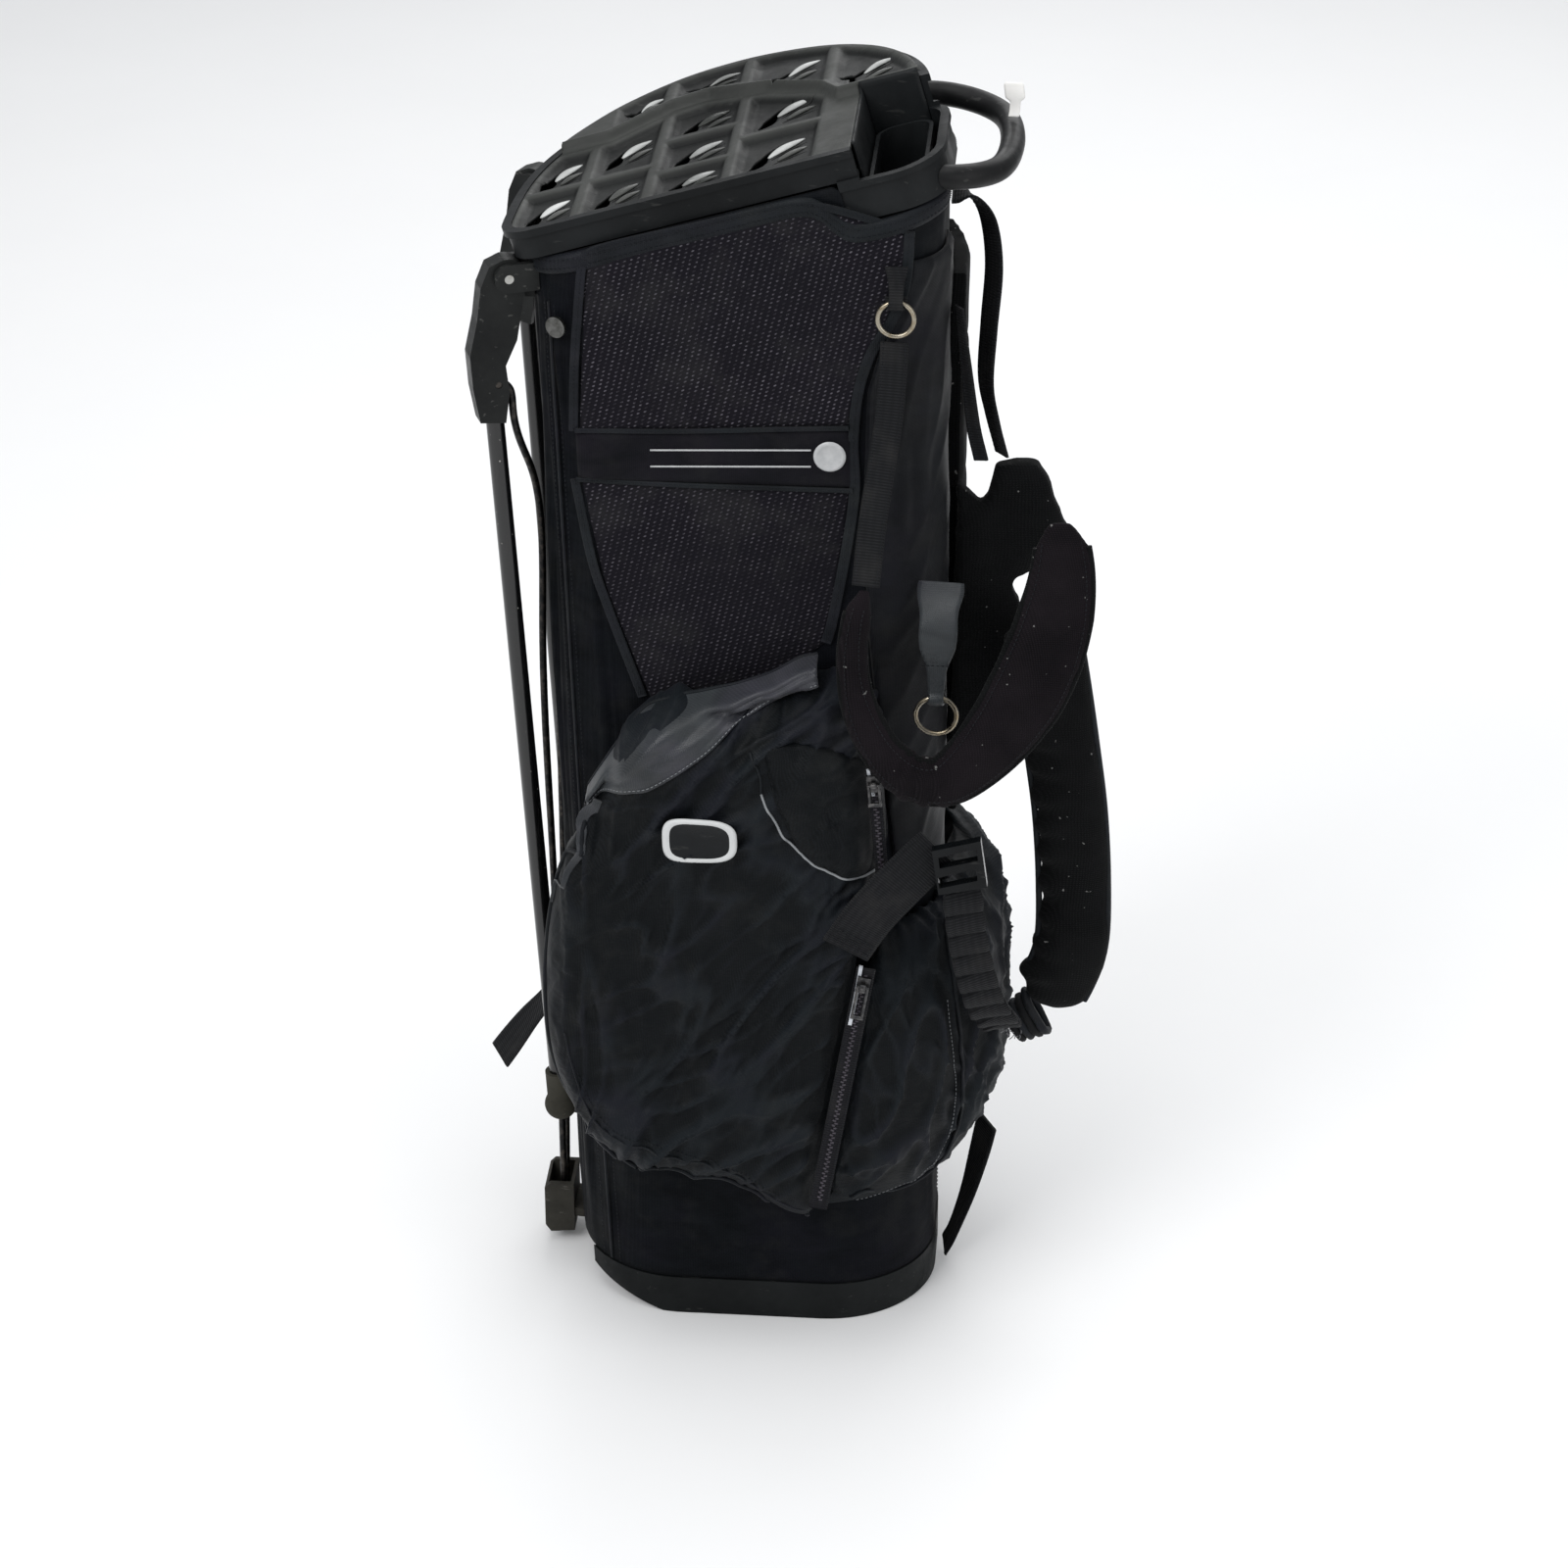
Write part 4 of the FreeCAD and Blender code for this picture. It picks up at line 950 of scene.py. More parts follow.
def cuff_outline(grow):
    """Plan of the top: round on the far side, straight on the near side."""
    pts = []
    for i, p in enumerate(CUFF):
        q, o = CUFF[min(i + 1, len(CUFF) - 1)], CUFF[max(i - 1, 0)]
        t = Vector((q[0] - o[0], q[1] - o[1])).normalized()
        pts.append((p[0] - t.y * grow, p[1] + t.x * grow, 0))
    out = [(p.x, p.y) for p in curve(pts, 150)]
    y = -97.0 - grow
    xa, xb = out[0][0], out[-1][0]
    for cx, cy, r, a0 in ((xb - 30 - grow, y + 30 + grow, 30 + grow, 0),
                          (xa + 20 + grow, y + 20 + grow, 20 + grow, 270)):
        for k in range(13):
            a = math.radians(a0 - 90 * k / 12)
            out.append((cx + r * math.cos(a), cy + r * math.sin(a)))
    return out


def cell_plans():
    """Outlines of the club cells in the plan of the top: nine in the lower tier, four in the upper."""
    a, b, c, d = RIBS
    h = 3.0
    lower = [
        [(-152, -90), (a - h, -90), (a - h, -35), (-150, -35)],
        [(-149, -29), (a - h, -29), (a - h, 29), (-134, 29), (-144, 2)],
        [(a + h, -90), (b - h, -90), (b - h, -35), (a + h, -35)],
        [(a + h, -29), (b - h, -29), (b - h, 55), (-99, 30), (a + h, 30)],
        [(b + h, -90), (c - h, -90), (c - h, -52), (b + h, -52)],
        [(b + h, -46), (c - h, -46), (c - h, 5), (b + h, 5)],
        [(b + h, 11), (c - h, 11), (c - h, 56), (-38, 62), (b + h, 57)],
        [(c + h, -90), (d - h, -90), (d - h, -25), (c + h, -25)],
        [(c + h, -19), (d - h, -19), (d - h, 16), (38, 26), (3, 48), (c + h, 53)],
    ]
    upper = [
        [(-98, 45), (b - h, 71), (b - h, 101), (-82, 93), (-98, 78)],
        [(b + h, 73), (-38, 77), (c - h, 71), (c - h, 111), (-45, 109), (b + h, 103)],
        [(c + h, 66), (8, 61), (d - h, 30), (d - h, 96), (12, 109), (c + h, 111)],
        [(d + h, 26), (61, 14), (106, 14), (104, 28), (92, 53), (74, 74), (d + h, 92)],
    ]
    return lower, upper


def smooth(t):
    t = max(0.0, min(1.0, t))
    return t * t * (3 - 2 * t)


def step_side(x, y):
    """Signed distance past the line between the tiers, positive on the far side."""
    best, sign = 1e9, 1
    for (x1, y1), (x2, y2) in zip(STEP, STEP[1:]):
        dx, dy = x2 - x1, y2 - y1
        t = max(0, min(1, ((x - x1) * dx + (y - y1) * dy) / (dx * dx + dy * dy)))
        d = math.hypot(x - x1 - t * dx, y - y1 - t * dy)
        if d < best:
            best = d
            sign = 1 if (y - y1) * dx - (x - x1) * dy > 0 else -1
    return best * sign


def step_base(x, y):
    """Height of the two tiers with the soft edge between them, without ribs."""
    d = step_side(x, y)
    return -1.2 + 5.6 * smooth((d + 2.2) / 4.4) + 1.1 * math.exp(-((d - 1.6) / 2.4) ** 2)


def top_height(x, y, cells):
    """Height of the moulded top over its plane: tiers, ribs and sunken membranes."""
    base = step_base(x, y)
    for cell, deep in cells:
        xs = [p[0] for p in cell]
        ys = [p[1] for p in cell]
        if min(xs) - 1 < x < max(xs) + 1 and min(ys) - 1 < y < max(ys) + 1 and inside(cell, x, y):
            e = edge_distance(cell, x, y)
            return base - deep * smooth(e / 4.6) - 0.5 * smooth(e / 16)
    return base + 0.35


def lens(points, widths, n=9):
    """Closed outline of a tapering stroke along points."""
    path = curve([(x, y, 0) for x, y in points], n)
    tg = tangents(path)
    left, right = [], []
    for i, (p, t) in enumerate(zip(path, tg)):
        f = i / (n - 1) * (len(widths) - 1)
        k = min(int(f), len(widths) - 2)
        w = (widths[k] + (widths[k + 1] - widths[k]) * (f - k)) / 2
        left.append((p.x - t.y * w, p.y + t.x * w))
        right.append((p.x + t.y * w, p.y - t.x * w))
    return left + right[::-1]


def slots_of(cell, upper):
    """Openings and rubber leaves of one club slot, fanned from the near left corner."""
    cx = (min(p[0] for p in cell) + max(p[0] for p in cell)) / 2
    cy = (min(p[1] for p in cell) + max(p[1] for p in cell)) / 2
    if upper and cx > 60:
        cx, cy = 74, 38
    kx = min(1.0 if upper else 1.1, (max(p[0] for p in cell) - min(p[0] for p in cell)) / 47)
    ky = min(1.15, (max(p[1] for p in cell) - min(p[1] for p in cell)) / 52)

    def at(points):
        return [(cx + x * kx, cy + y * ky) for x, y in points]
    if upper:
        hook = at([(-18, -1), (-13, 1), (-8, -1), (-2, 5), (1, 5), (-3, -3), (-7, -6), (-7, -15),
                   (-11, -15), (-11, -6), (-16, -4)])
        holes = [hook, lens(at([(0, -8), (9, 0), (18, 5)]), (0.7, 3.0, 0.7))]
        leaves = [(at([(-1, -2), (8, 7), (19, 13)]), 6.0 * ky),
                  (at([(2, -13), (10, -7), (18, -3)]), 5.0 * ky)]
    else:
        hook = lens(at([(-16, -19), (-11, -13), (-8, -4), (-4, 5), (3, 13)]), (2.0, 10.5, 6.0, 3.6, 1.0),
                    11)
        holes = [hook, lens(at([(-3, -9), (6, -1), (17, 6)]), (0.8, 3.6, 0.8)),
                 lens(at([(-2, -17), (8, -12), (18, -9)]), (0.8, 3.0, 0.8))]
        leaves = [(at([(-5, -5), (3, 4), (15, 13)]), 9.0), (at([(1, -13), (9, -6), (18, -1)]), 6.5)]
    return holes, leaves


def cut_sheet(name, outline, holes, step, box):
    """Flat sheet with clean openings, divided on a grid so that it can be shaped."""
    cu = bpy.data.curves.new(name, "CURVE")
    cu.dimensions = "2D"
    cu.fill_mode = "BOTH"
    for loop in [outline] + holes:
        sp = cu.splines.new("POLY")
        sp.points.add(len(loop) - 1)
        for p, (x, y) in zip(sp.points, loop):
            p.co = (x, y, 0, 1)
        sp.use_cyclic_u = True
    o = add_object(name + "_plan", cu)
    me = bpy.data.meshes.new_from_object(o)
    bpy.data.objects.remove(o)
    bm = bmesh.new()
    bm.from_mesh(me)
    bmesh.ops.remove_doubles(bm, verts=bm.verts, dist=1e-4)
    for axis in (0, 1):
        v = box[axis][0]
        while v < box[axis][1]:
            co, no = [0, 0, 0], [0, 0, 0]
            co[axis], no[axis] = v, 1
            bmesh.ops.bisect_plane(bm, geom=bm.verts[:] + bm.edges[:] + bm.faces[:], plane_co=co,
                                   plane_no=no)
            v += step
    for f in bm.faces:
        if f.normal.z < 0:
            f.normal_flip()
    bm.to_mesh(me)
    bm.free()
    return me


def build_top():
    """Divided top: the moulded sheet with its openings, the leaves over them, and the well's two walls."""
    lower, upper = cell_plans()
    cells = [(c, 3.6) for c in lower] + [(c, 3.2) for c in upper]
    outline = []
    for x, y in cuff_outline(-3.2):
        if x > WELL[0] and y < WELL[1]:
            if outline[-1] != (WELL[0], -93.8):
                outline += [(113.0, WELL[1]), (WELL[0], WELL[1]), (WELL[0], -93.8)]
            continue
        outline.append((x, y))
    holes, leaves = [], []
    for i, (cell, deep) in enumerate(cells):
        h, l = slots_of(cell, i >= len(lower))
        holes += h
        leaves += [(i, k, path, w) for k, (path, w) in enumerate(l)]
    me = cut_sheet("divider_top", outline, holes, 1.7, ((-156, 118), (-98, 120)))
    plans = [(v.co.x, v.co.y) for v in me.vertices]
    for v in me.vertices:
        v.co = Vector(top(v.co.x, v.co.y, top_height(v.co.x, v.co.y, cells))) * MM
    # colour mask: 1 on the raised ribs and rim, falling to 0 in the sunken cells; it paints the ribs paler
    # (partly wear, partly painted highlight) and leaves the cells darker as painted shade
    worn = me.attributes.new("rib_wear_and_highlight", "FLOAT", "POINT")
    for v, plan in zip(me.vertices, plans):
        worn.data[v.index].value = smooth((top_height(*plan, cells) - step_base(*plan) + 1.9) / 2.0)
    o = add_object("divider_top", me)
    me.materials.append(M["divider"])
    round_off(me)
    wall(o, 0.0018)
    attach(o, "bag")
    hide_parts("divider_lower_tier", "divider_upper_tier", "slot_tongues")
    for i, k, path, w in leaves:
        p3 = curve([(x, y, 0) for x, y in path], 15)
        tg = tangents(p3)
        floor_z = top_height(p3[7].x, p3[7].y, cells)
        verts = []
        for a, (p, t) in enumerate(zip(p3, tg)):
            f = a / 14
            half = w / 2 * math.sin(math.pi * (0.04 + 0.92 * f)) ** 0.8
            for b in range(7):
                s = -1 + b / 3
                x, y = p.x - t.y * half * s, p.y + t.x * half * s
                z = floor_z + 0.5 + 1.9 * math.sin(math.pi * f) * (1 - 0.8 * s * s) * (0.7 if k else 1)
                verts.append(Vector(top(x, y, z)) * MM)
        # the first leaf of most cells takes the pale rubber, a painted highlight; the rest keep the darker
        # rubber
        look = M["tongue" if k or i in (2, 6) else "tongue_highlight"]
        leaf = new_mesh("slot_leaf_%d_%d" % (i, k), verts, grid_faces(15, 7), look, "bag")
        wall(leaf, 0.0009)
    # walls down into the putter well
    for name, line in (("well_side", [(WELL[0], y) for y in range(-86, 8, 4)]),
                       ("well_back", [(x, WELL[1]) for x in range(72, 114, 3)])):
        verts = []
        for x, y in line:
            h = top_height(x - 1, y + 1, cells)
            for z in (h, h - 1.2, h - 4, -14, -26, -40, -54):
                push = 0.0 if z > h - 1 else 0.8
                verts.append(Vector(top(x + (push if name == "well_side" else 0),
                                        y - (push if name == "well_back" else 0), z)) * MM)
        panel = new_mesh(name, verts, grid_faces(len(line), 7), M["cuff"], "bag")
        wall(panel, 0.0015)


build_top()


def hard(name, mat, bevel=0.6, segments=2):
    """A carried-over CAD part: procedural material and softened edges."""
    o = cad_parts[name]
    o.data.materials.clear()
    o.data.materials.append(M[mat])
    if bevel:
        mod = o.modifiers.new("Edge", "BEVEL")
        mod.width = bevel * MM
        mod.segments = segments
        mod.limit_method = "ANGLE"
        mod.angle_limit = math.radians(35)
        mod.harden_normals = False
    return o


for node, mat, bevel in (
        ("base_cup", "base", 1.2), ("rocker_pin", "steel", 0), ("base_rocker", "dusty", 0.8),
        ("top_cuff", "cuff", 0.9), ("putter_well", "cuff", 0.4), ("lift_handle", "handle", 0),
        ("leg_bracket", "elbow", 0.8), ("bracket_screws", "steel", 0.5), ("ladder_buckle", "gloss", 0.7),
        ("rivets", "rivet", 0.6), ("side_ring", "ring", 0), ("towel_ring", "ring", 0)):
    hard(node, mat, bevel)
for side in ("near", "far"):
    for part, mat, bevel in (("leg_pin", "steel", 0.4), ("leg_elbow", "elbow", 1.0),
                             ("leg_tube", "paint", 0), ("leg_foot", "foot", 0.8), ("push_rod", "rod", 0)):
        hard("%s_%s" % (side, part), mat, bevel)
for zipper in ("main", "small", "far"):
    hard(zipper + "_zip_slider", "zipmetal", 0.3)
    hard(zipper + "_zip_pull", "zipmetal", 0)


# ------------------------------------------------------------------ pockets
class Surface:
    """Finds the outside of finished soft pieces, so that piping and tape can lie on them; in mm."""
    def __init__(self, *objs):
        verts, faces = [], []
        for o in objs:
            base = len(verts)
            verts += [v.co.copy() for v in o.data.vertices]
            faces += [[base + i for i in p.vertices] for p in o.data.polygons]
        self.tree = BVHTree.FromPolygons(verts, faces)

    def at(self, x, z, lift=0.0, side=-1):
        hit = self.tree.ray_cast(Vector((x, side * 400, z)) * MM, Vector((0, -side, 0)))
        if hit[0] is None:
            near = self.tree.find_nearest(Vector((x, side * 140, z)) * MM)
            return near[0] / MM + near[1] * lift
        return hit[0] / MM + hit[1] * lift

    def path(self, pts, lift=0.0, n=60, side=-1):
        return [self.at(p.x, p.z, lift, side) for p in curve([(x, 0, z) for x, z in pts], n)]


def eased(pts, times=2):
    """A line with its small kinks averaged out."""
    for _ in range(times):
        pts = [pts[0]] + [(a + b * 2 + c) / 4 for a, b, c in zip(pts, pts[1:], pts[2:])] + [pts[-1]]
    return pts


def by_zip(p):
    """1 away from the two near zips, falling to 0 along them, so that the sliders run on flat cloth."""
    best = 99.0
    for (x1, z1), (x2, z2) in (((87, 322), (57, 138)), ((90, 482), (99, 384))):
        dx, dz = x2 - x1, z2 - z1
        t = max(0, min(1, ((p.x - x1) * dx + (p.z - z1) * dz) / (dx * dx + dz * dz)))
        best = min(best, math.hypot(p.x - x1 - t * dx, p.z - z1 - t * dz))
    return smooth((best - 7) / 12)


def side_wrinkles(p, n):
    """Long slanting folds of the large pocket, upright ones on its left, calm by the zips."""
    if n.y > 0.4:
        return 0.0
    edge = smooth((p.z - 116) / 50) * smooth((p.x + 128) / 26)
    big = field(p.x * 0.011, 1.7, p.z * 0.010)
    w = 6.5 * crease(p, 52, 110, 34, 2.0, 4.2) * smooth(0.8 + big)
    w += 4.0 * crease(p, 35, 70, 22, 9.0, 4.6) * smooth(0.7 - big)
    w += 1.6 * crease(p, 68, 46, 12, 19.0, 4.0)
    left = smooth((-62 - p.x) / 40)
    w = w * (1 - 0.6 * left) + 4.4 * left * crease(p, 84, 130, 17, 4.0, 3.8)
    right = smooth((p.x - 30) / 40) * smooth((p.z - 260) / 60)
    w += 4.2 * right * crease(p, 28, 70, 18, 6.0, 3.8)
    calm = by_zip(p)
    return calm * edge * (w - 2.2 + 2.2 * big) - 2.6 * (1 - calm)


def ball_wrinkles(p, n):
    """Steep folds of the ball pocket, finer toward its top."""
    if p.x < 40 and n.y > 0.3:
        return 0.0
    edge = smooth((p.z - 104) / 46) * (by_zip(p) if p.y < -110 else 1.0)
    q = Vector((p.x + p.y * 0.6, 0, p.z))
    w = 5.2 * crease(q, 62, 80, 28, 12.0, 4.0) + 3.0 * crease(q, 120, 60, 22, 15.0, 4.2)
    w += 3.6 * smooth((p.z - 270) / 50) * crease(q, 88, 90, 13, 17.0, 3.8)
    return edge * (w - 1.9)


def far_wrinkles(p, n):
    return 2.2 * crease(p, 70, 90, 30, 21.0, 2.4) + 1.2 * crease(p, 115, 60, 22, 25.0) - 1.4


side_bag = soft_from("side_pocket", "side_pocket_bag", M["pocket"], "pocket_fabric", 4.5, cap=4.5,
                     shrink=3.0, wrinkle=side_wrinkles, fill=0.35)
ball_bag = soft_from("ball_pocket", "ball_pocket_bag", M["pocket"], "pocket_fabric", 5.0, cap=5.0,
                     shrink=3.5, wrinkle=ball_wrinkles, fill=0.45)
far_bag = soft_from("far_pocket", "far_pocket_bag", M["pocket"], "pocket_fabric", 5.5, cap=5.0, shrink=3.5,
                    wrinkle=far_wrinkles, fill=0.4)
near = Surface(side_bag, ball_bag)
far_side = Surface(far_bag)


def laid(name, surface, pts, r, mat, lift=0.4, n=90, side=-1, sides=8):
    """Piping that follows a soft surface."""
    return tube(name, eased(surface.path(pts, lift, n, side)), r, M[mat], raw=True, sides=sides)


# upper edge of the side pocket: a sheen band with long soft folds; its lighter colour is partly grey trim and
# partly painted sheen
TRIM_TOP = [(-101, 440), (-92, 456), (-76, 482), (-60, 504), (-36, 512), (-14, 518), (17, 528), (40, 542),
            (52, 546)]
TRIM_LOW = [(-101, 430), (-88, 446), (-70, 452), (-56, 456), (-34, 471), (-12, 490), (8, 507), (30, 519),
            (54, 532)]


def build_trim():
    """Sheen band over the pocket's upper edge, laid on the cloth under it; its lighter colour is partly grey
    trim and partly painted sheen.
    """
    cols, rows = 90, 22
    a = curve([(x, 0, z) for x, z in TRIM_TOP], cols)
    b = curve([(x, 0, z) for x, z in TRIM_LOW], cols)
    depth = []
    for i in range(cols):
        line = []
        for j in range(rows):
            f = j / (rows - 1)
            p = a[i].lerp(b[i], f)
            back = near_y(p.x, p.z, 0.3) - 4.0
            q = min(near.at(p.x, p.z).y, back)
            line.append(back + (q - back) * smooth(f / 0.12))
        depth.append(line)
    for _ in range(14):
        depth = [[(depth[max(i - 1, 0)][j] + depth[min(i + 1, cols - 1)][j] + depth[i][max(j - 1, 0)]
                   + depth[i][min(j + 1, rows - 1)] + 2 * depth[i][j]) / 6
                  for j in range(rows)] for i in range(cols)]
    verts = []
    for i in range(cols):
        for j in range(rows):
            f, s = j / (rows - 1), i / (cols - 1)
            p = a[i].lerp(b[i], f)
            long_fold = math.sin(f * 9.0 + 3.2 * s + 0.8 * field(s * 4, f * 2, 3)) ** 2
            bulge = math.sin(math.pi * min(1, f * 1.02)) * (0.4 + 0.6 * math.sin(math.pi * s))
            verts.append(Vector((p.x, depth[i][j] - 1.8 - 2.8 * long_fold * bulge, p.z)) * MM)
    o = new_mesh("pocket_sheen_band", verts, grid_faces(cols, rows), M["trim_and_sheen"], "bag")
    wall(o, 0.0016, 0)
    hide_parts("pocket_trim")
    top_edge = [verts[i * rows] / MM + Vector((0, -0.8, 0)) for i in range(cols)]
    low_edge = [verts[i * rows + rows - 1] / MM + Vector((0, -0.5, 0)) for i in range(cols)]
    tube("pocket_top_piping", top_edge, 1.5, M["bind"], raw=True, sides=8)
    stitches("pocket_band_thread", [p + Vector((0, -1.0, 2.4)) for p in low_edge], M["piping"], raw=True,
             r=0.28)


build_trim()
laid("pocket_left_piping", near, [(-101, 432), (-113, 400), (-124, 366), (-131, 326), (-133, 284),
                                  (-129, 228), (-117, 192), (-98, 162), (-74, 146)], 1.7, "bind", 0.6, 120)
laid("pocket_low_piping", near, [(-74, 146), (-50, 138), (-20, 130), (7, 124), (32, 112), (54, 106)], 1.6,
     "bind", 0.6)
laid("pocket_gusset_seam", near, [(-118, 262), (-110, 224), (-96, 188), (-60, 171), (-8, 154), (30, 130),
                                  (56, 118)], 0.8, "bind", 0.2)
GUSSET = [(-110, 232), (-92, 192), (-58, 176), (-8, 159), (30, 136)]
stitches("pocket_gusset_thread", near.path(GUSSET, 0.5, 160), M["bind"], raw=True)
# grey edge tape running on down the left side of the pocket, partly a painted highlight along that edge
EDGE = [(-100, 442), (-111, 412), (-121, 380), (-127, 350)]
band("pocket_edge_tape", eased(near.path(EDGE, 1.3, 40)), lambda f: 9 - 7 * f, 1.0,
     in_view, M["trim_and_sheen"], slot="trim_fabric", raw=True)


def blank_badge():
    """A plain rounded badge: pale raised rim and a smooth dark middle, nothing on it."""
    cx, cz = -23.5, 421.0
    verts = []
    rings = ((1.0, -0.4), (0.99, 1.2), (0.93, 1.9), (0.86, 1.9), (0.80, 1.1), (0.0, 1.2))
    m = 56
    for scale, h in rings:
        for k in range(m):
            a = 2 * math.pi * k / m
            c, s = math.cos(a), math.sin(a)
            x = cx + 25.0 * scale * math.copysign(abs(c) ** 0.55, c)
            z = cz + 17.5 * scale * math.copysign(abs(s) ** 0.6, s) * (1 - 0.10 * c)
            y = near.at(cx, cz).y + (x - cx) * slope_x + (z - cz) * slope_z - 2.2 - h
            verts.append(Vector((x, y, z)) * MM)
    o = new_mesh("plain_badge", verts, ring_faces(len(rings), m), M["badge"], "bag")
    o.data.materials.append(M["gloss"])
    for p in o.data.polygons:
        if p.index >= 4 * m:
            p.material_index = 1
    return o


slope_x = (near.at(0, 421).y - near.at(-46, 421).y) / 46
slope_z = (near.at(-23, 436).y - near.at(-23, 406).y) / 30
blank_badge()

# small accessory pocket on the side pocket, upper right
SMALL = [(22, 489), (24, 462), (31, 440), (44, 412), (57, 402), (72, 396), (88, 398), (91, 420), (90, 450),
         (86, 474), (74, 488), (50, 494)]


def build_small():
    """Accessory pocket, lofted from its outline to its middle."""
    m, rings = 72, 12
    edge = [(p.x, p.z) for p in curve([(x, 0, z) for x, z in SMALL], m, True)]
    cx, cz = 60, 446
    verts = []
    for i in range(rings):
        k = 1 - i / (rings - 1)
        for x, z in edge:
            px, pz = cx + (x - cx) * k, cz + (z - cz) * k
            q = near.at(px, pz)
            ripple = 1.3 * crease(Vector((px, 0, pz)), 65, 40, 16, 31.0, 2.2) * (1 - k)
            up = 1.0 + 5.0 * (1 - k ** 3) + ripple
            verts.append(Vector((px, q.y - up, pz)) * MM)
    o = new_mesh("small_pocket_cloth", verts, ring_faces(rings, m), M["pocket"], "bag")
    wall(o, 0.0014)
    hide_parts("small_pocket")
    return o


small_bag = build_small()
near_all = Surface(side_bag, ball_bag, small_bag)
laid("small_pocket_piping", near_all, [(17, 455), (24, 440), (32, 424), (44, 412), (57, 403), (70, 397),
                                       (84, 395), (97, 396)], 0.85, "piping", 0.5)
laid("small_pocket_upper_piping", near_all, [(10, 486), (16, 470), (17, 455)], 0.8, "bind", 0.4, 30)
laid("ball_pocket_piping", near_all, [(76, 108), (98, 110), (114, 114), (133, 129), (147, 160), (153, 208),
                                      (146, 284), (138, 330)], 1.2, "bind", 1.0, 120)
BALL_SEAM = [(80, 113), (98, 116), (113, 120), (129, 133), (143, 162), (148, 206), (141, 282)]
stitches("ball_pocket_thread", near_all.path(BALL_SEAM, 0.5, 160), M["piping"], raw=True, r=0.25)
laid("far_pocket_piping", far_side, [(-90, 470), (-99, 320), (-93, 184), (-58, 146), (10, 138), (70, 148),
                                     (87, 194), (89, 340), (83, 476), (57, 533), (0, 545), (-54, 530),
                                     (-90, 470)], 1.6, "bind", 0.6, 200, 1)
laid("far_pocket_seam", far_side, [(-94, 400), (-40, 412), (20, 414), (86, 402)], 1.0, "bind", 0.3, 90, 1)
stitches("far_pocket_thread", far_side.path([(-92, 394), (-40, 406), (20, 408), (84, 396)], 0.5, 160, 1),
         M["bind"], raw=True)


# ------------------------------------------------------------------ strap pads
def pad_form(name, path, width, thick, n=70, flat=2.4):
    """Closed padded strip with a rounded-box section, narrowing at both ends; in mm."""
    pts = curve(path, n)
    tg = tangents(pts)
    m = 28
    verts = []
    for i, (p, t) in enumerate(zip(pts, tg)):
        f = i / (n - 1)
        end = min(1.0, (0.12 + min(f, 1 - f) * 16) ** 0.5)
        w = in_view(f, t).normalized()
        nn = t.cross(w).normalized()
        for k in range(m):
            a = 2 * math.pi * k / m
            c, s = math.cos(a), math.sin(a)
            x = math.copysign(abs(c) ** (2 / flat), c) * (width(f) if callable(width) else width) / 2 * end
            y = math.copysign(abs(s) ** (2 / flat), s) * thick / 2 * end
            verts.append((p + w * x + nn * y) * MM)
    faces = grid_faces(n, m, False, True)
    faces.append(tuple(range(m - 1, -1, -1)))
    faces.append(tuple((n - 1) * m + k for k in range(m)))
    me = bpy.data.meshes.new(name)
    me.from_pydata([tuple(v) for v in verts], [], faces)
    me.update()
    bm = bmesh.new()
    bm.from_mesh(me)
    bmesh.ops.recalc_face_normals(bm, faces=bm.faces)
    bm.to_mesh(me)
    bm.free()
    return add_object(name, me)


PAD_NEAR = [(84, -157, 612), (79, -157, 590), (77, -157, 560), (82, -160, 530), (96, -164, 501),
            (116, -167, 483), (138, -167, 481), (158, -164, 496), (178, -160, 522), (194, -155, 552),
            (205, -148, 586), (210, -142, 620), (208, -135, 655)]
PAD_FAR = [(196, -76, 560), (205, -76, 510), (213, -76, 460), (220, -76, 410), (224, -76, 355),
           (224, -76, 310), (216, -76, 280), (205, -76, 258)]


def near_width(f):
    """Overall width along the near pad: a narrow left arm, the broad bend, a tapering right arm."""
    knots = (16, 18, 20, 24, 28, 33, 40, 47, 52, 52, 48, 40, 32)
    q = f * (len(knots) - 1)
    i = min(int(q), len(knots) - 2)
    return knots[i] + (knots[i + 1] - knots[i]) * (q - i)


def near_pad_wrinkles(p, n):
    """Cross folds where the pad doubles round at the bottom, and fine ripples along its inner edge."""
    bend = math.exp(-((p.x - 124) / 26) ** 2 - ((p.z - 470) / 30) ** 2)
    a = math.atan2(p.z - 540, p.x - 128)
    inner = smooth((34 - math.hypot(p.x - 132, (p.z - 560) * 0.55)) / 30)
    w = 2.6 * bend * (0.5 + 0.5 * math.sin(a * 34 + 1.2 * noise.noise(p * 0.03)))
    w += 1.4 * inner * math.sin(p.z * 0.42 + 3 * noise.noise(p * 0.02))
    return w + 1.3 * noise.noise(p * 0.028) + 0.5 * noise.noise(p * 0.09)


def far_pad_wrinkles(p, n):
    inner = smooth((222 - p.x) / 20) * smooth((p.z - 250) / 40)
    ripple = 2.0 * inner * math.sin(p.z * 0.27 + 2.4 * noise.noise(p * 0.02))
    return ripple + 1.8 * noise.noise(p * 0.022) + 0.6 * noise.noise(p * 0.07)


def yoke_wrinkles(p, n):
    return 1.8 * noise.noise(p * 0.03) + 1.2 * crease(p, 60, 60, 22, 41.0, 2.4) - 0.4


def spine_wrinkles(p, n):
    """Sewn channels across the carrying pad, every 96 mm."""
    return -2.6 * math.exp(-((p.z % 96 - 48) / 4.0) ** 2) + 0.8 * noise.noise(p * 0.03)


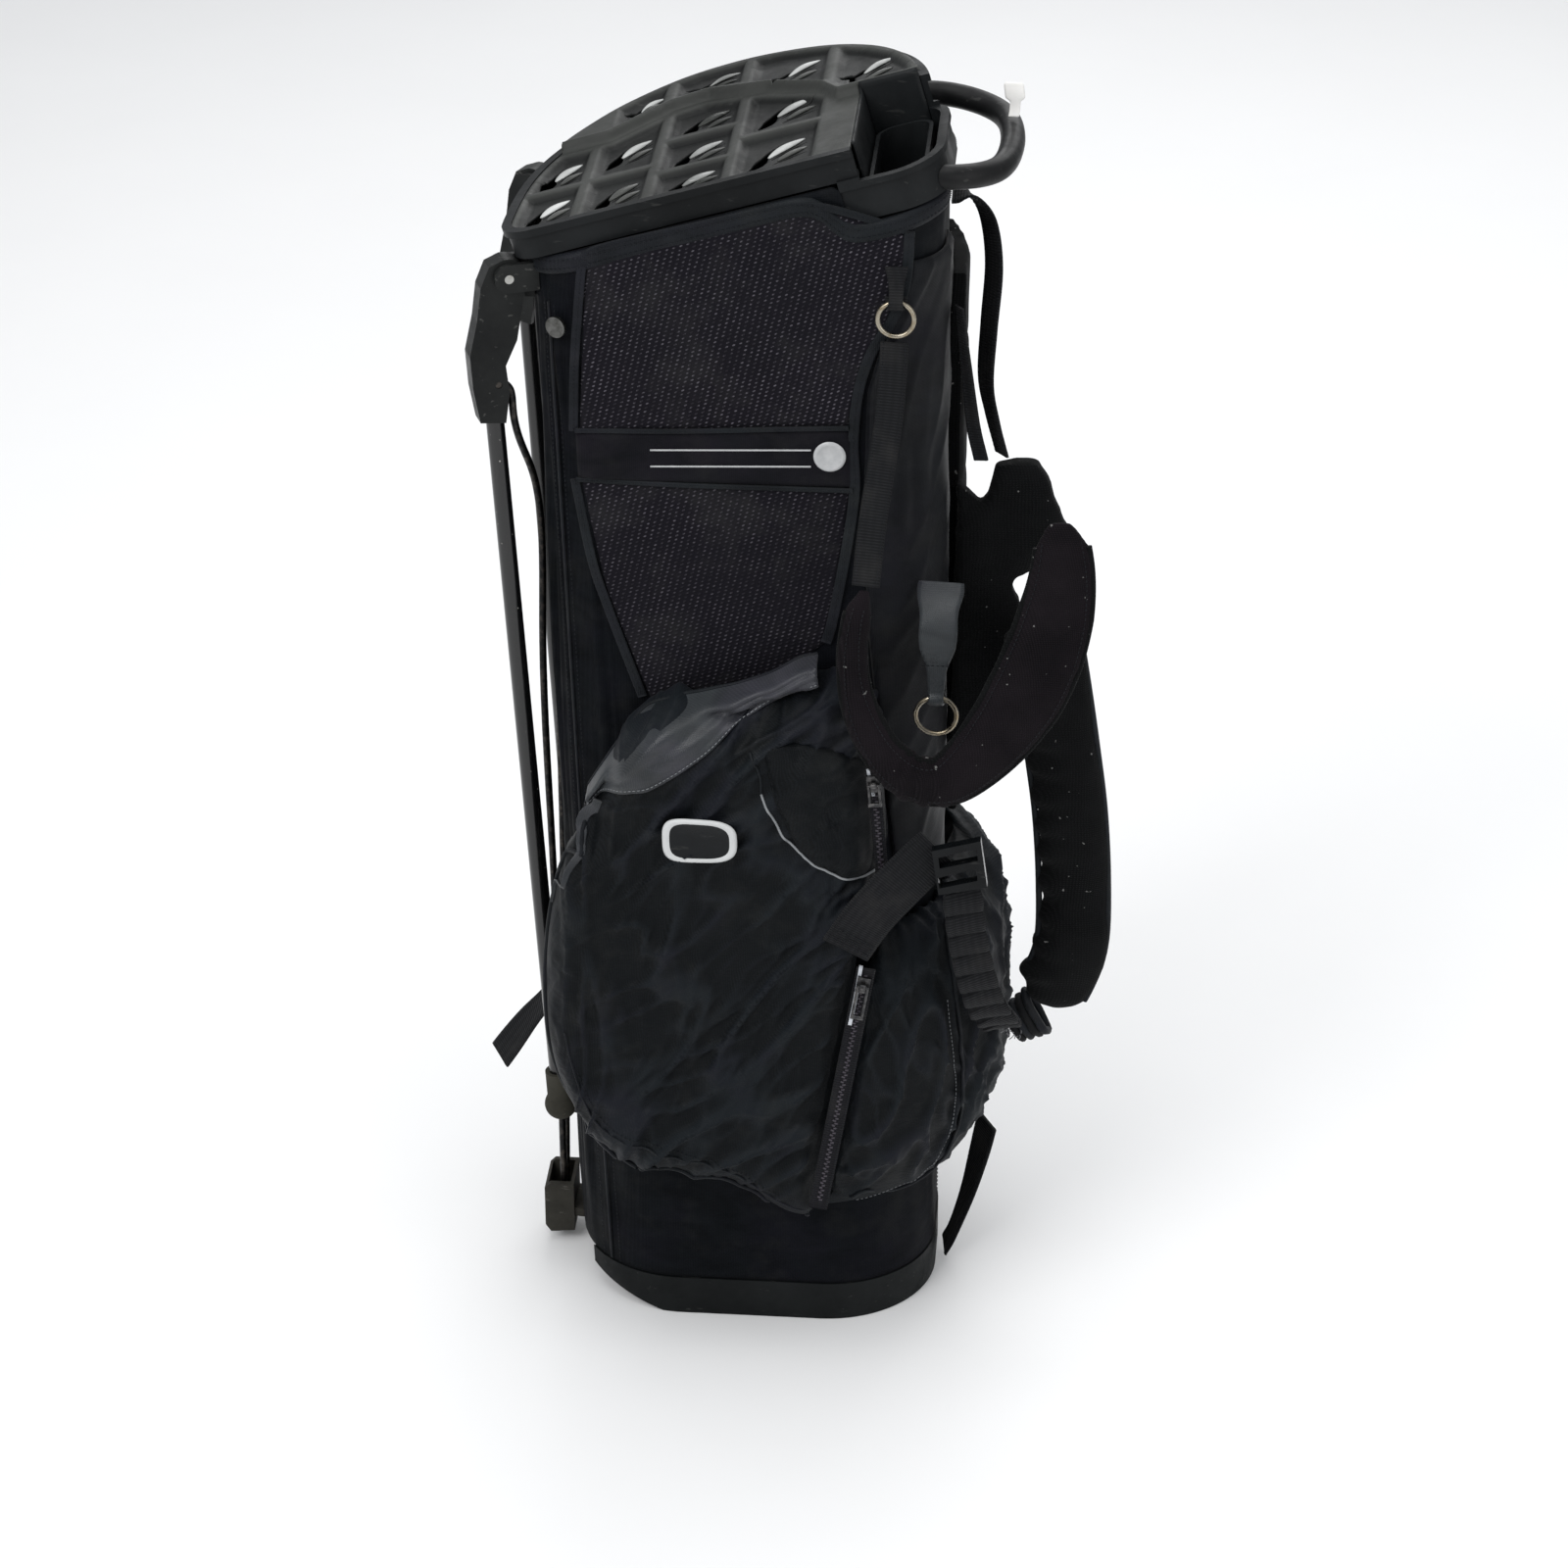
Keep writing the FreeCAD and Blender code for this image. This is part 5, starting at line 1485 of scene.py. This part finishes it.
soften(pad_form("strap_pad_near", PAD_NEAR, lambda f: near_width(f) + 3, 13, 90), M["padmesh"], "pad_mesh",
       3.2, cap=3.0, pressure=3.0, shrink=0.6, wrinkle=near_pad_wrinkles, fill=0.6, frames=10,
       stands_for=("shoulder_pad_near",))
soften(pad_form("strap_pad_far", PAD_FAR, 54, 23, 60), M["pad"], "pad_mesh",
       3.8, cap=3.5, pressure=3.0, shrink=0.8, wrinkle=far_pad_wrinkles, fill=0.7, frames=10,
       stands_for=("shoulder_pad_far",))
soft_from("yoke_pad", "strap_yoke", M["pad"], "pad_mesh", 3.6, cap=3.0, shrink=1.0,
          wrinkle=yoke_wrinkles, fill=0.5)
soft_from("spine_pad", "carrying_pad", M["pad"], "pad_mesh", 4.2, cap=3.0, shrink=1.6,
          wrinkle=spine_wrinkles, fill=0.5)


def offset_path(path, n, side, width, lift):
    """A line beside a path, width away on one side and lifted toward the viewer."""
    pts = curve(path, n)
    tg = tangents(pts)
    out = []
    for i, (p, t) in enumerate(zip(pts, tg)):
        w = in_view(0, t).normalized()
        reach = width(i / (n - 1)) if callable(width) else width
        out.append(p + w * side * reach + Vector((0, -lift, 0)))
    return out


# bound edges of both pads, and a row of stitching inside each edge of the near one
for k, side in enumerate((-1, 1)):
    line = offset_path(PAD_NEAR, 110, side, lambda f: near_width(f) / 2 - 1.5, 1.0)[5:-5]
    tube("pad_near_binding_%d" % k, line, 2.3, M["pad"], raw=True, sides=10)
    row = offset_path(PAD_NEAR, 200, side, lambda f: near_width(f) / 2 - 5.0, 6.3)[6:-6]
    stitches("pad_near_thread_%d" % k, row, M["bind"], raw=True, r=0.3)
for k, side in enumerate((-1, 1)):
    line = offset_path(PAD_FAR, 90, side, 23.5, 2.0)[5:-5]
    tube("pad_far_binding_%d" % k, line, 2.2, M["bind"], raw=True, sides=10)

# collar that gathers the far pad into its webbing: wrapped turns of tape
collar = [(204, -75, 252), (198, -76, 247), (191, -76.5, 244), (184, -77, 241)]
for k in range(4):
    c = Vector(collar[0]).lerp(Vector(collar[-1]), (k + 0.5) / 4)
    d = (Vector(collar[-1]) - Vector(collar[0])).normalized()
    w = in_view(0, d).normalized()
    ring = []
    for q in range(24):
        a = 2 * math.pi * q / 24
        r = 1 + 0.06 * math.sin(a * 5 + k)
        deep_part = Vector((0, 1, 0)) * math.sin(a) * (8.4 - k * 0.6) * r
        ring.append(c + w * math.cos(a) * (17 - k * 1.4) * r + deep_part)
    o = tube("collar_turn_%d" % k, ring, 3.0, M["web"] if k % 2 else M["bind"], closed=True,
             raw=True, sides=10)
    if k == 0:
        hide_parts("strap_collar")
for k in range(26):
    # frayed pale ends at the collar
    a = random.uniform(-1, 1)
    base = Vector((186 + 5 * a, -84.5 + random.uniform(-1, 1), 236 + 12 * random.random()))
    tip = base + Vector((random.uniform(-4, 2), random.uniform(-2.5, -0.4), random.uniform(-5, 4)))
    tube("frayed_end_%02d" % k, [base, base.lerp(tip, 0.5) + Vector((0.5, -0.6, 0.4)), tip], 0.32,
         M["fluff"], n=6, sides=5)


# ------------------------------------------------------------------ webbing
UPPER_LOOP = [(130, -14, 826), (142, -14, 827), (153, -14, 812), (158, -20, 782), (156, -28, 742),
              (155, -36, 708), (160, -42, 684), (167, -45, 659)]
TAIL = [(138, -64, 770), (142, -64, 738), (148, -64, 690), (154, -62, 662)]
FRONT = [(99, -106.5, 762), (98, -108, 740), (96, -114, 710), (92, -125, 680), (88, -141, 650),
         (85, -156, 614)]
CROSS = [(74, -158, 344), (90, -164.5, 374), (108, -166, 398), (124, -163.5, 416), (135, -162, 427)]
LADDER = [(151, -160, 393), (154, -154, 362), (160, -146, 325), (168, -132, 290), (177, -112, 264),
          (179, -92, 250)]
ANCHOR = [(168, -12, 118), (163, -12, 92), (155, -12, 56), (145, -12, 22), (139, -12, 8)]
LEG_STRAP = [(-130.5, 0, 246), (-139, 0, 222), (-150, 0, 200), (-166, 0, 178), (-186, 0, 148)]


def facing(v):
    """v or its opposite, whichever points to the near side."""
    return -v if v.y > 0 else v


def strip(name, node, path, width, across, thick=1.7, mat="web", inset=2.0, **kw):
    """A webbing strap that stands for a CAD ribbon, with a row of stitching inside each edge."""
    o = band(name, path, width, thick, across, M[mat], slot="webbing", **kw)
    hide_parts(node)
    pts = curve(path, 160)
    tg = tangents(pts)
    for k, side in enumerate((-1, 1)):
        row = []
        for i, (p, t) in enumerate(zip(pts, tg)):
            a = across(i / 159, t) if callable(across) else Vector(across)
            w = (a - t * a.dot(t)).normalized()
            nrm = facing(t.cross(w).normalized())
            row.append(p + w * side * (width / 2 - inset) + nrm * (thick / 2 + 0.2))
        stitches("%s_thread_%d" % (name, k), row, M["bind"], raw=True, r=0.28)
    return o


def turned(most, start=0.0):
    """Width direction that turns from across the bag toward the side, along a strap."""
    def across(f, t):
        a = math.radians(start + (most - start) * smooth(f))
        return Vector((math.sin(a), -math.cos(a), 0.12 * math.sin(a)))
    return across


strip("upper_strap_loop", "upper_webbing_loop", UPPER_LOOP, 24, turned(24, 30), n=80)
strip("strap_tail", "webbing_tail", TAIL, 10, turned(70, 30), n=50)
strip("front_strap", "front_webbing", FRONT, 18, (1, 0, 0.1), n=60)
strip("cross_strap", "cross_webbing", CROSS, 34, in_view, n=70)
strip("base_anchor_strap", "base_anchor_webbing", ANCHOR, 26, turned(8, 32), n=60)
strip("leg_tie_strap", "leg_strap", LEG_STRAP, 24, turned(48, 0), n=60)


def box_stitch(name, centre, u, v, w, h):
    """A sewn square with its cross, on a strap end."""
    c, u, v = Vector(centre), Vector(u).normalized(), Vector(v).normalized()
    a, b, d, e = c - u * w - v * h, c + u * w - v * h, c + u * w + v * h, c - u * w + v * h
    for k, line in enumerate(((a, b), (b, d), (d, e), (e, a), (a, d), (b, e))):
        stitches("%s_%d" % (name, k), [line[0].lerp(line[1], q / 8) for q in range(9)], M["bind"], raw=True,
                 pitch=2.6, length=1.8, r=0.3)


box_stitch("cross_strap_end", (79, -161.6, 352), (0.5, -0.15, 0.85), (-0.86, 0, 0.5), 5, 13)

# gathered ladder strap: stacked ruffles with dark valleys between them
pts = curve(LADDER, 150)
tg = tangents(pts)
ruffle = []
for i, (p, t) in enumerate(zip(pts, tg)):
    w = (Vector((1, 0.3, 0)) - t * Vector((1, 0.3, 0)).dot(t)).normalized()
    nrm = facing(t.cross(w).normalized())
    s = i / 149 * 176
    ruffle.append(p + nrm * (2.6 * abs(math.sin(math.pi * s / 19.0)) ** 0.6 - 0.6))
ladder = band("ladder_strap", ruffle, lambda f: 27 - 1.6 * abs(math.cos(math.pi * f * 176 / 19.0)) ** 4,
              3.0, (1, 0.3, 0), M["web"], slot="webbing", raw=True)
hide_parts("ladder_webbing")
band("ladder_strap_back", [p + Vector((0, 3.0, 0)) for p in pts], 25, 1.7, (1, 0.3, 0), M["bind"],
     slot="webbing", raw=True)

# tabs that carry the rings
side_tab = band("side_ring_strap", [(99.5, -103.2, 812), (99.5, -104.4, 800), (99.5, -107.4, 793.6),
                                    (99.5, -111.0, 790.4), (99.5, -109.6, 785.8), (99.5, -105.2, 786.4),
                                    (99.5, -103.4, 792)],
                lambda f: 15 - 6 * math.sin(math.pi * f), 1.3, (1, 0, 0), M["web"], slot="webbing", n=50)
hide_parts("side_ring_tab")
FLAP = [(131, -94, 588), (130.5, -106, 580), (130.5, -117.5, 568), (130.2, -120.5, 548), (130, -120.3, 532),
        (130, -121.0, 521), (130, -123.4, 516.6), (130, -121.0, 512.6), (130, -116.0, 513.4),
        (130, -116.4, 520)]


def flap_width(f):
    """Wide where it is sewn on, narrow where it carries the ring."""
    return 30 - 6 * smooth(f / 0.4) - 13 * smooth((f - 0.45) / 0.22) + 1.2 * math.sin(f * 21)


flap = band("towel_ring_flap", FLAP, flap_width, 1.5, (1, 0, 0), M["trim_and_sheen"], slot="trim_fabric", n=90,
            crown=0.6)
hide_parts("towel_ring_tab")
stitches("flap_thread", [(130 - 10 + k, -121.9, 541) for k in range(0, 20)], M["bind"], raw=True)


# ------------------------------------------------------------------ zips
def zip_line(name, a, b, side, width, mat, node):
    """Coated tape, a raised coil of separate teeth and a stitched edge, over the CAD track."""
    a, b = Vector(a), Vector(b)
    t = (b - a).normalized()
    w = t.cross(Vector((0, 1, 0))).normalized()
    lift = Vector((0, side * 1.6, 0))
    pts = [a - t * 6 + lift + (b - a + t * 12) * (k / 40) for k in range(41)]
    o = band(name + "_zip_tape", pts, width, 1.1, w, M[mat], slot="zip_tape", raw=True, crown=0.4)
    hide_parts(node)
    verts, faces = [], []
    count = int((b - a).length / 2.0)
    for k in range(count):
        c = a + (b - a) * (k / count) + Vector((0, side * 2.6, 0))
        s = -1 if k % 2 else 1
        base = len(verts)
        for dx, dy, dz in ((-0.6, 0, -1), (-0.6, 0, 1), (2.0, 0, 1), (2.0, 0, -1), (-0.3, 1, -0.6),
                           (-0.3, 1, 0.6), (1.6, 1, 0.5), (1.6, 1, -0.5)):
            verts.append((c + w * dx * s + t * dz * 0.75 + Vector((0, side * dy * 0.7, 0))) * MM)
        for f in ((0, 1, 2, 3), (4, 7, 6, 5), (0, 4, 5, 1), (1, 5, 6, 2), (2, 6, 7, 3), (3, 7, 4, 0)):
            faces.append([base + q for q in f])
    new_mesh(name + "_zip_teeth", verts, faces, M["zipteeth"], "bag", False)
    for k, s in enumerate((-1, 1)):
        row = [p + w * s * (width / 2 - 1.2) + Vector((0, side * 0.9, 0)) for p in pts]
        stitches("%s_zip_thread_%d" % (name, k), row, M["bind"], raw=True, r=0.26)


zip_line("main", (87, -152, 322), (57, -152, 138), -1, 13, "tape", "main_zip_track")
zip_line("small", (91, -147.5, 474), (98, -147.5, 392), -1, 8.5, "tape", "small_zip_track")
zip_line("far", (62, 145, 500), (62, 145, 180), 1, 10, "tape", "far_zip_track")
band("zip_silver_edge", [(84.5, -154.6, 330), (82, -154.8, 312), (79.5, -154.8, 296), (77.2, -154.6, 283)],
     2.6, 0.8, in_view, M["silver"], slot="zip_tape", n=20)
band("small_zip_silver_edge", [(87.4, -150.4, 478), (89.4, -150.6, 468), (91.4, -150.4, 458)], 2.2, 0.7,
     in_view, M["silver"], slot="zip_tape", n=14)


# ------------------------------------------------------------------ side panel, lining sheets, tag
def limit(f, target, lo, hi):
    """Perimeter parameter where a steadily changing quantity reaches its target."""
    rising = f(hi) > f(lo)
    for _ in range(40):
        mid = (lo + hi) / 2
        if (f(mid) < target) == rising:
            lo = mid
        else:
            hi = mid
    return (lo + hi) / 2


def lerp_table(table, z):
    """Value at z in a table of (z, value) rows."""
    for (z1, x1), (z2, x2) in zip(table, table[1:]):
        if z <= z2:
            return x1 + (x2 - x1) * max(0.0, (z - z1) / (z2 - z1))
    return table[-1][1]


PANEL_LEFT = [(345, 108), (450, 95), (560, 84), (640, 80), (725, 82), (770, 95), (800, 108), (835, 112)]


def build_side_panel():
    """Coated cloth over the corner between the mesh and the strap side, softly rippled, edges turned in."""
    cols, rows = 64, 170
    verts = []
    for j in range(rows):
        for i in range(cols):
            f = i / (cols - 1)
            z = 345 + (813 - 345) * j / (rows - 1)
            left = lerp_table(PANEL_LEFT, z)
            s0 = limit(lambda s: around(s, z, 3.0)[0][0], left, 0.0, 1.9)
            s1 = limit(lambda s: around(s, z, 3.0)[0][1], -40.0, 1.0, 3.0)
            s = s0 + (s1 - s0) * f
            (x, y), n = around(s, z, 0)
            end = min(1.0, min(i, cols - 1 - i) / 2.0) * min(1.0, min(j, rows - 1 - j) / 2.0)
            p = Vector((x, y, z))
            fold = 1.5 * crease(Vector((x + y * 0.4, 0, z)), 70, 90, 20, 51.0, 2.2)
            fold += 0.9 * noise.noise(p * 0.02)
            fold += 1.6 * math.exp(-((z - 655) / 26) ** 2 - ((x - 112) / 14) ** 2) * math.sin(x * 0.5)
            g = 0.5 + 2.3 * end ** 0.5 + end * (fold - 0.5)
            verts.append(Vector((x + n[0] * g, y + n[1] * g, z)) * MM)
    o = new_mesh("side_panel_cloth", verts, grid_faces(rows, cols), M["panel"], "bag")
    wall(o, 0.001)
    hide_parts("strap_side_panel")
    return o


panel_cloth = build_side_panel()
panel_face = Surface(panel_cloth)
tube("side_panel_piping", eased(panel_face.path([(125, 796), (125, 690), (121, 595), (114, 546)], 0.4, 60)),
     0.8, M["piping"], raw=True, sides=8)
stitches("side_panel_thread", panel_face.path([(90, 560), (86, 640), (88, 722)], 0.5, 150), M["bind"],
         raw=True)


def patch(name, surface, cx, cz, rx, rz, mat, seed, tilt=0.0):
    """A worn place: a thin ragged island on a surface."""
    rings, m = 4, 22
    verts, faces = [surface.at(cx, cz, 0.45) * MM], []
    ca, sa = math.cos(tilt), math.sin(tilt)
    for r in range(1, rings + 1):
        for k in range(m):
            a = 2 * math.pi * k / m
            ragged = 1 + 0.55 * field(math.cos(a) * 1.6, math.sin(a) * 1.6, seed)
            ragged += 0.3 * field(math.cos(a) * 5, math.sin(a) * 5, seed + 9)
            u, v = math.cos(a) * rx * ragged * r / rings, math.sin(a) * rz * ragged * r / rings
            q = surface.at(cx + u * ca - v * sa, cz + u * sa + v * ca, 0.45 - 0.3 * (r == rings))
            verts.append(q * MM)
    for k in range(m):
        faces.append((0, 1 + k, 1 + (k + 1) % m))
    for r in range(rings - 1):
        for k in range(m):
            a, b = 1 + r * m + k, 1 + r * m + (k + 1) % m
            faces.append((a, a + m, b + m, b))
    o = new_mesh(name, verts, faces, M[mat], "bag")
    wall(o, 0.0003)
    return o


for k, (x, z, rx, rz, tilt) in enumerate(((100, 637, 5.5, 3.2, 0.5), (102, 604, 4.2, 5.6, 0.2),
                                          (98, 575, 3.4, 4.6, -0.3), (92, 543, 2.6, 5.2, 0.1),
                                          (105, 622, 2.0, 2.6, 0.9), (96, 590, 1.8, 2.2, 0.0))):
    patch("worn_place_%d" % k, panel_face, x, z, rx, rz, "worn", 3.1 * k, tilt=tilt)
patch("worn_coating_0", panel_face, 87, 712, 2.6, 9.5, "pale_worn", 40.0, tilt=-0.25)
patch("worn_coating_1", panel_face, 85, 693, 1.8, 4.0, "pale_worn", 44.0, tilt=-0.3)


def build_sheets():
    """Three fabric walls inside, hanging in shallow waves between top and base."""
    verts, faces = [], []
    cols, rows = 36, 60
    for k, (x0, y1, z1) in enumerate(((-60.0, 88, 790), (-9.0, 88, 790), (48.0, 80, 818))):
        base = len(verts)
        for i in range(cols):
            for j in range(rows):
                y = -87.5 + (y1 + 87.0) * i / (cols - 1)
                z = 71 + (z1 - 71) * j / (rows - 1)
                calm = math.sin(math.pi * j / (rows - 1)) ** 0.5
                x = x0 + 2.4 * calm * field(y * 0.018, z * 0.004, k * 7.0)
                x += 0.8 * calm * field(y * 0.06, z * 0.012, k * 3.0)
                verts.append(Vector((x, y, z)) * MM)
        faces += [[base + q for q in f] for f in grid_faces(cols, rows)]
    o = new_mesh("inner_sheets", verts, faces, M["inner"], "bag")
    wall(o, 0.0012, 0)
    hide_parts("divider_sheets")


build_sheets()


def build_tag():
    """A blank paper tag standing up from the handle, a little curled."""
    cols, rows = 10, 30
    verts = []
    for j in range(rows):
        f = j / (rows - 1)
        z = 868.6 + 23.5 * f
        half = 3.4 + 3.0 * smooth((f - 0.42) / 0.16)
        half -= 1.3 * smooth((f - 0.93) / 0.07)
        for i in range(cols):
            u = -1 + 2 * i / (cols - 1)
            x = 167.3 + half * u + 0.8 * math.sin(f * 4)
            y = 17.9 + 1.3 * u * u * f - 1.6 * f * f + 0.5 * math.sin(f * 7)
            verts.append(Vector((x, y, z)) * MM)
    o = new_mesh("blank_tag", verts, grid_faces(rows, cols), M["paper"], "bag")
    wall(o, 0.0005, 0)
    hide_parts("handle_tag")


build_tag()
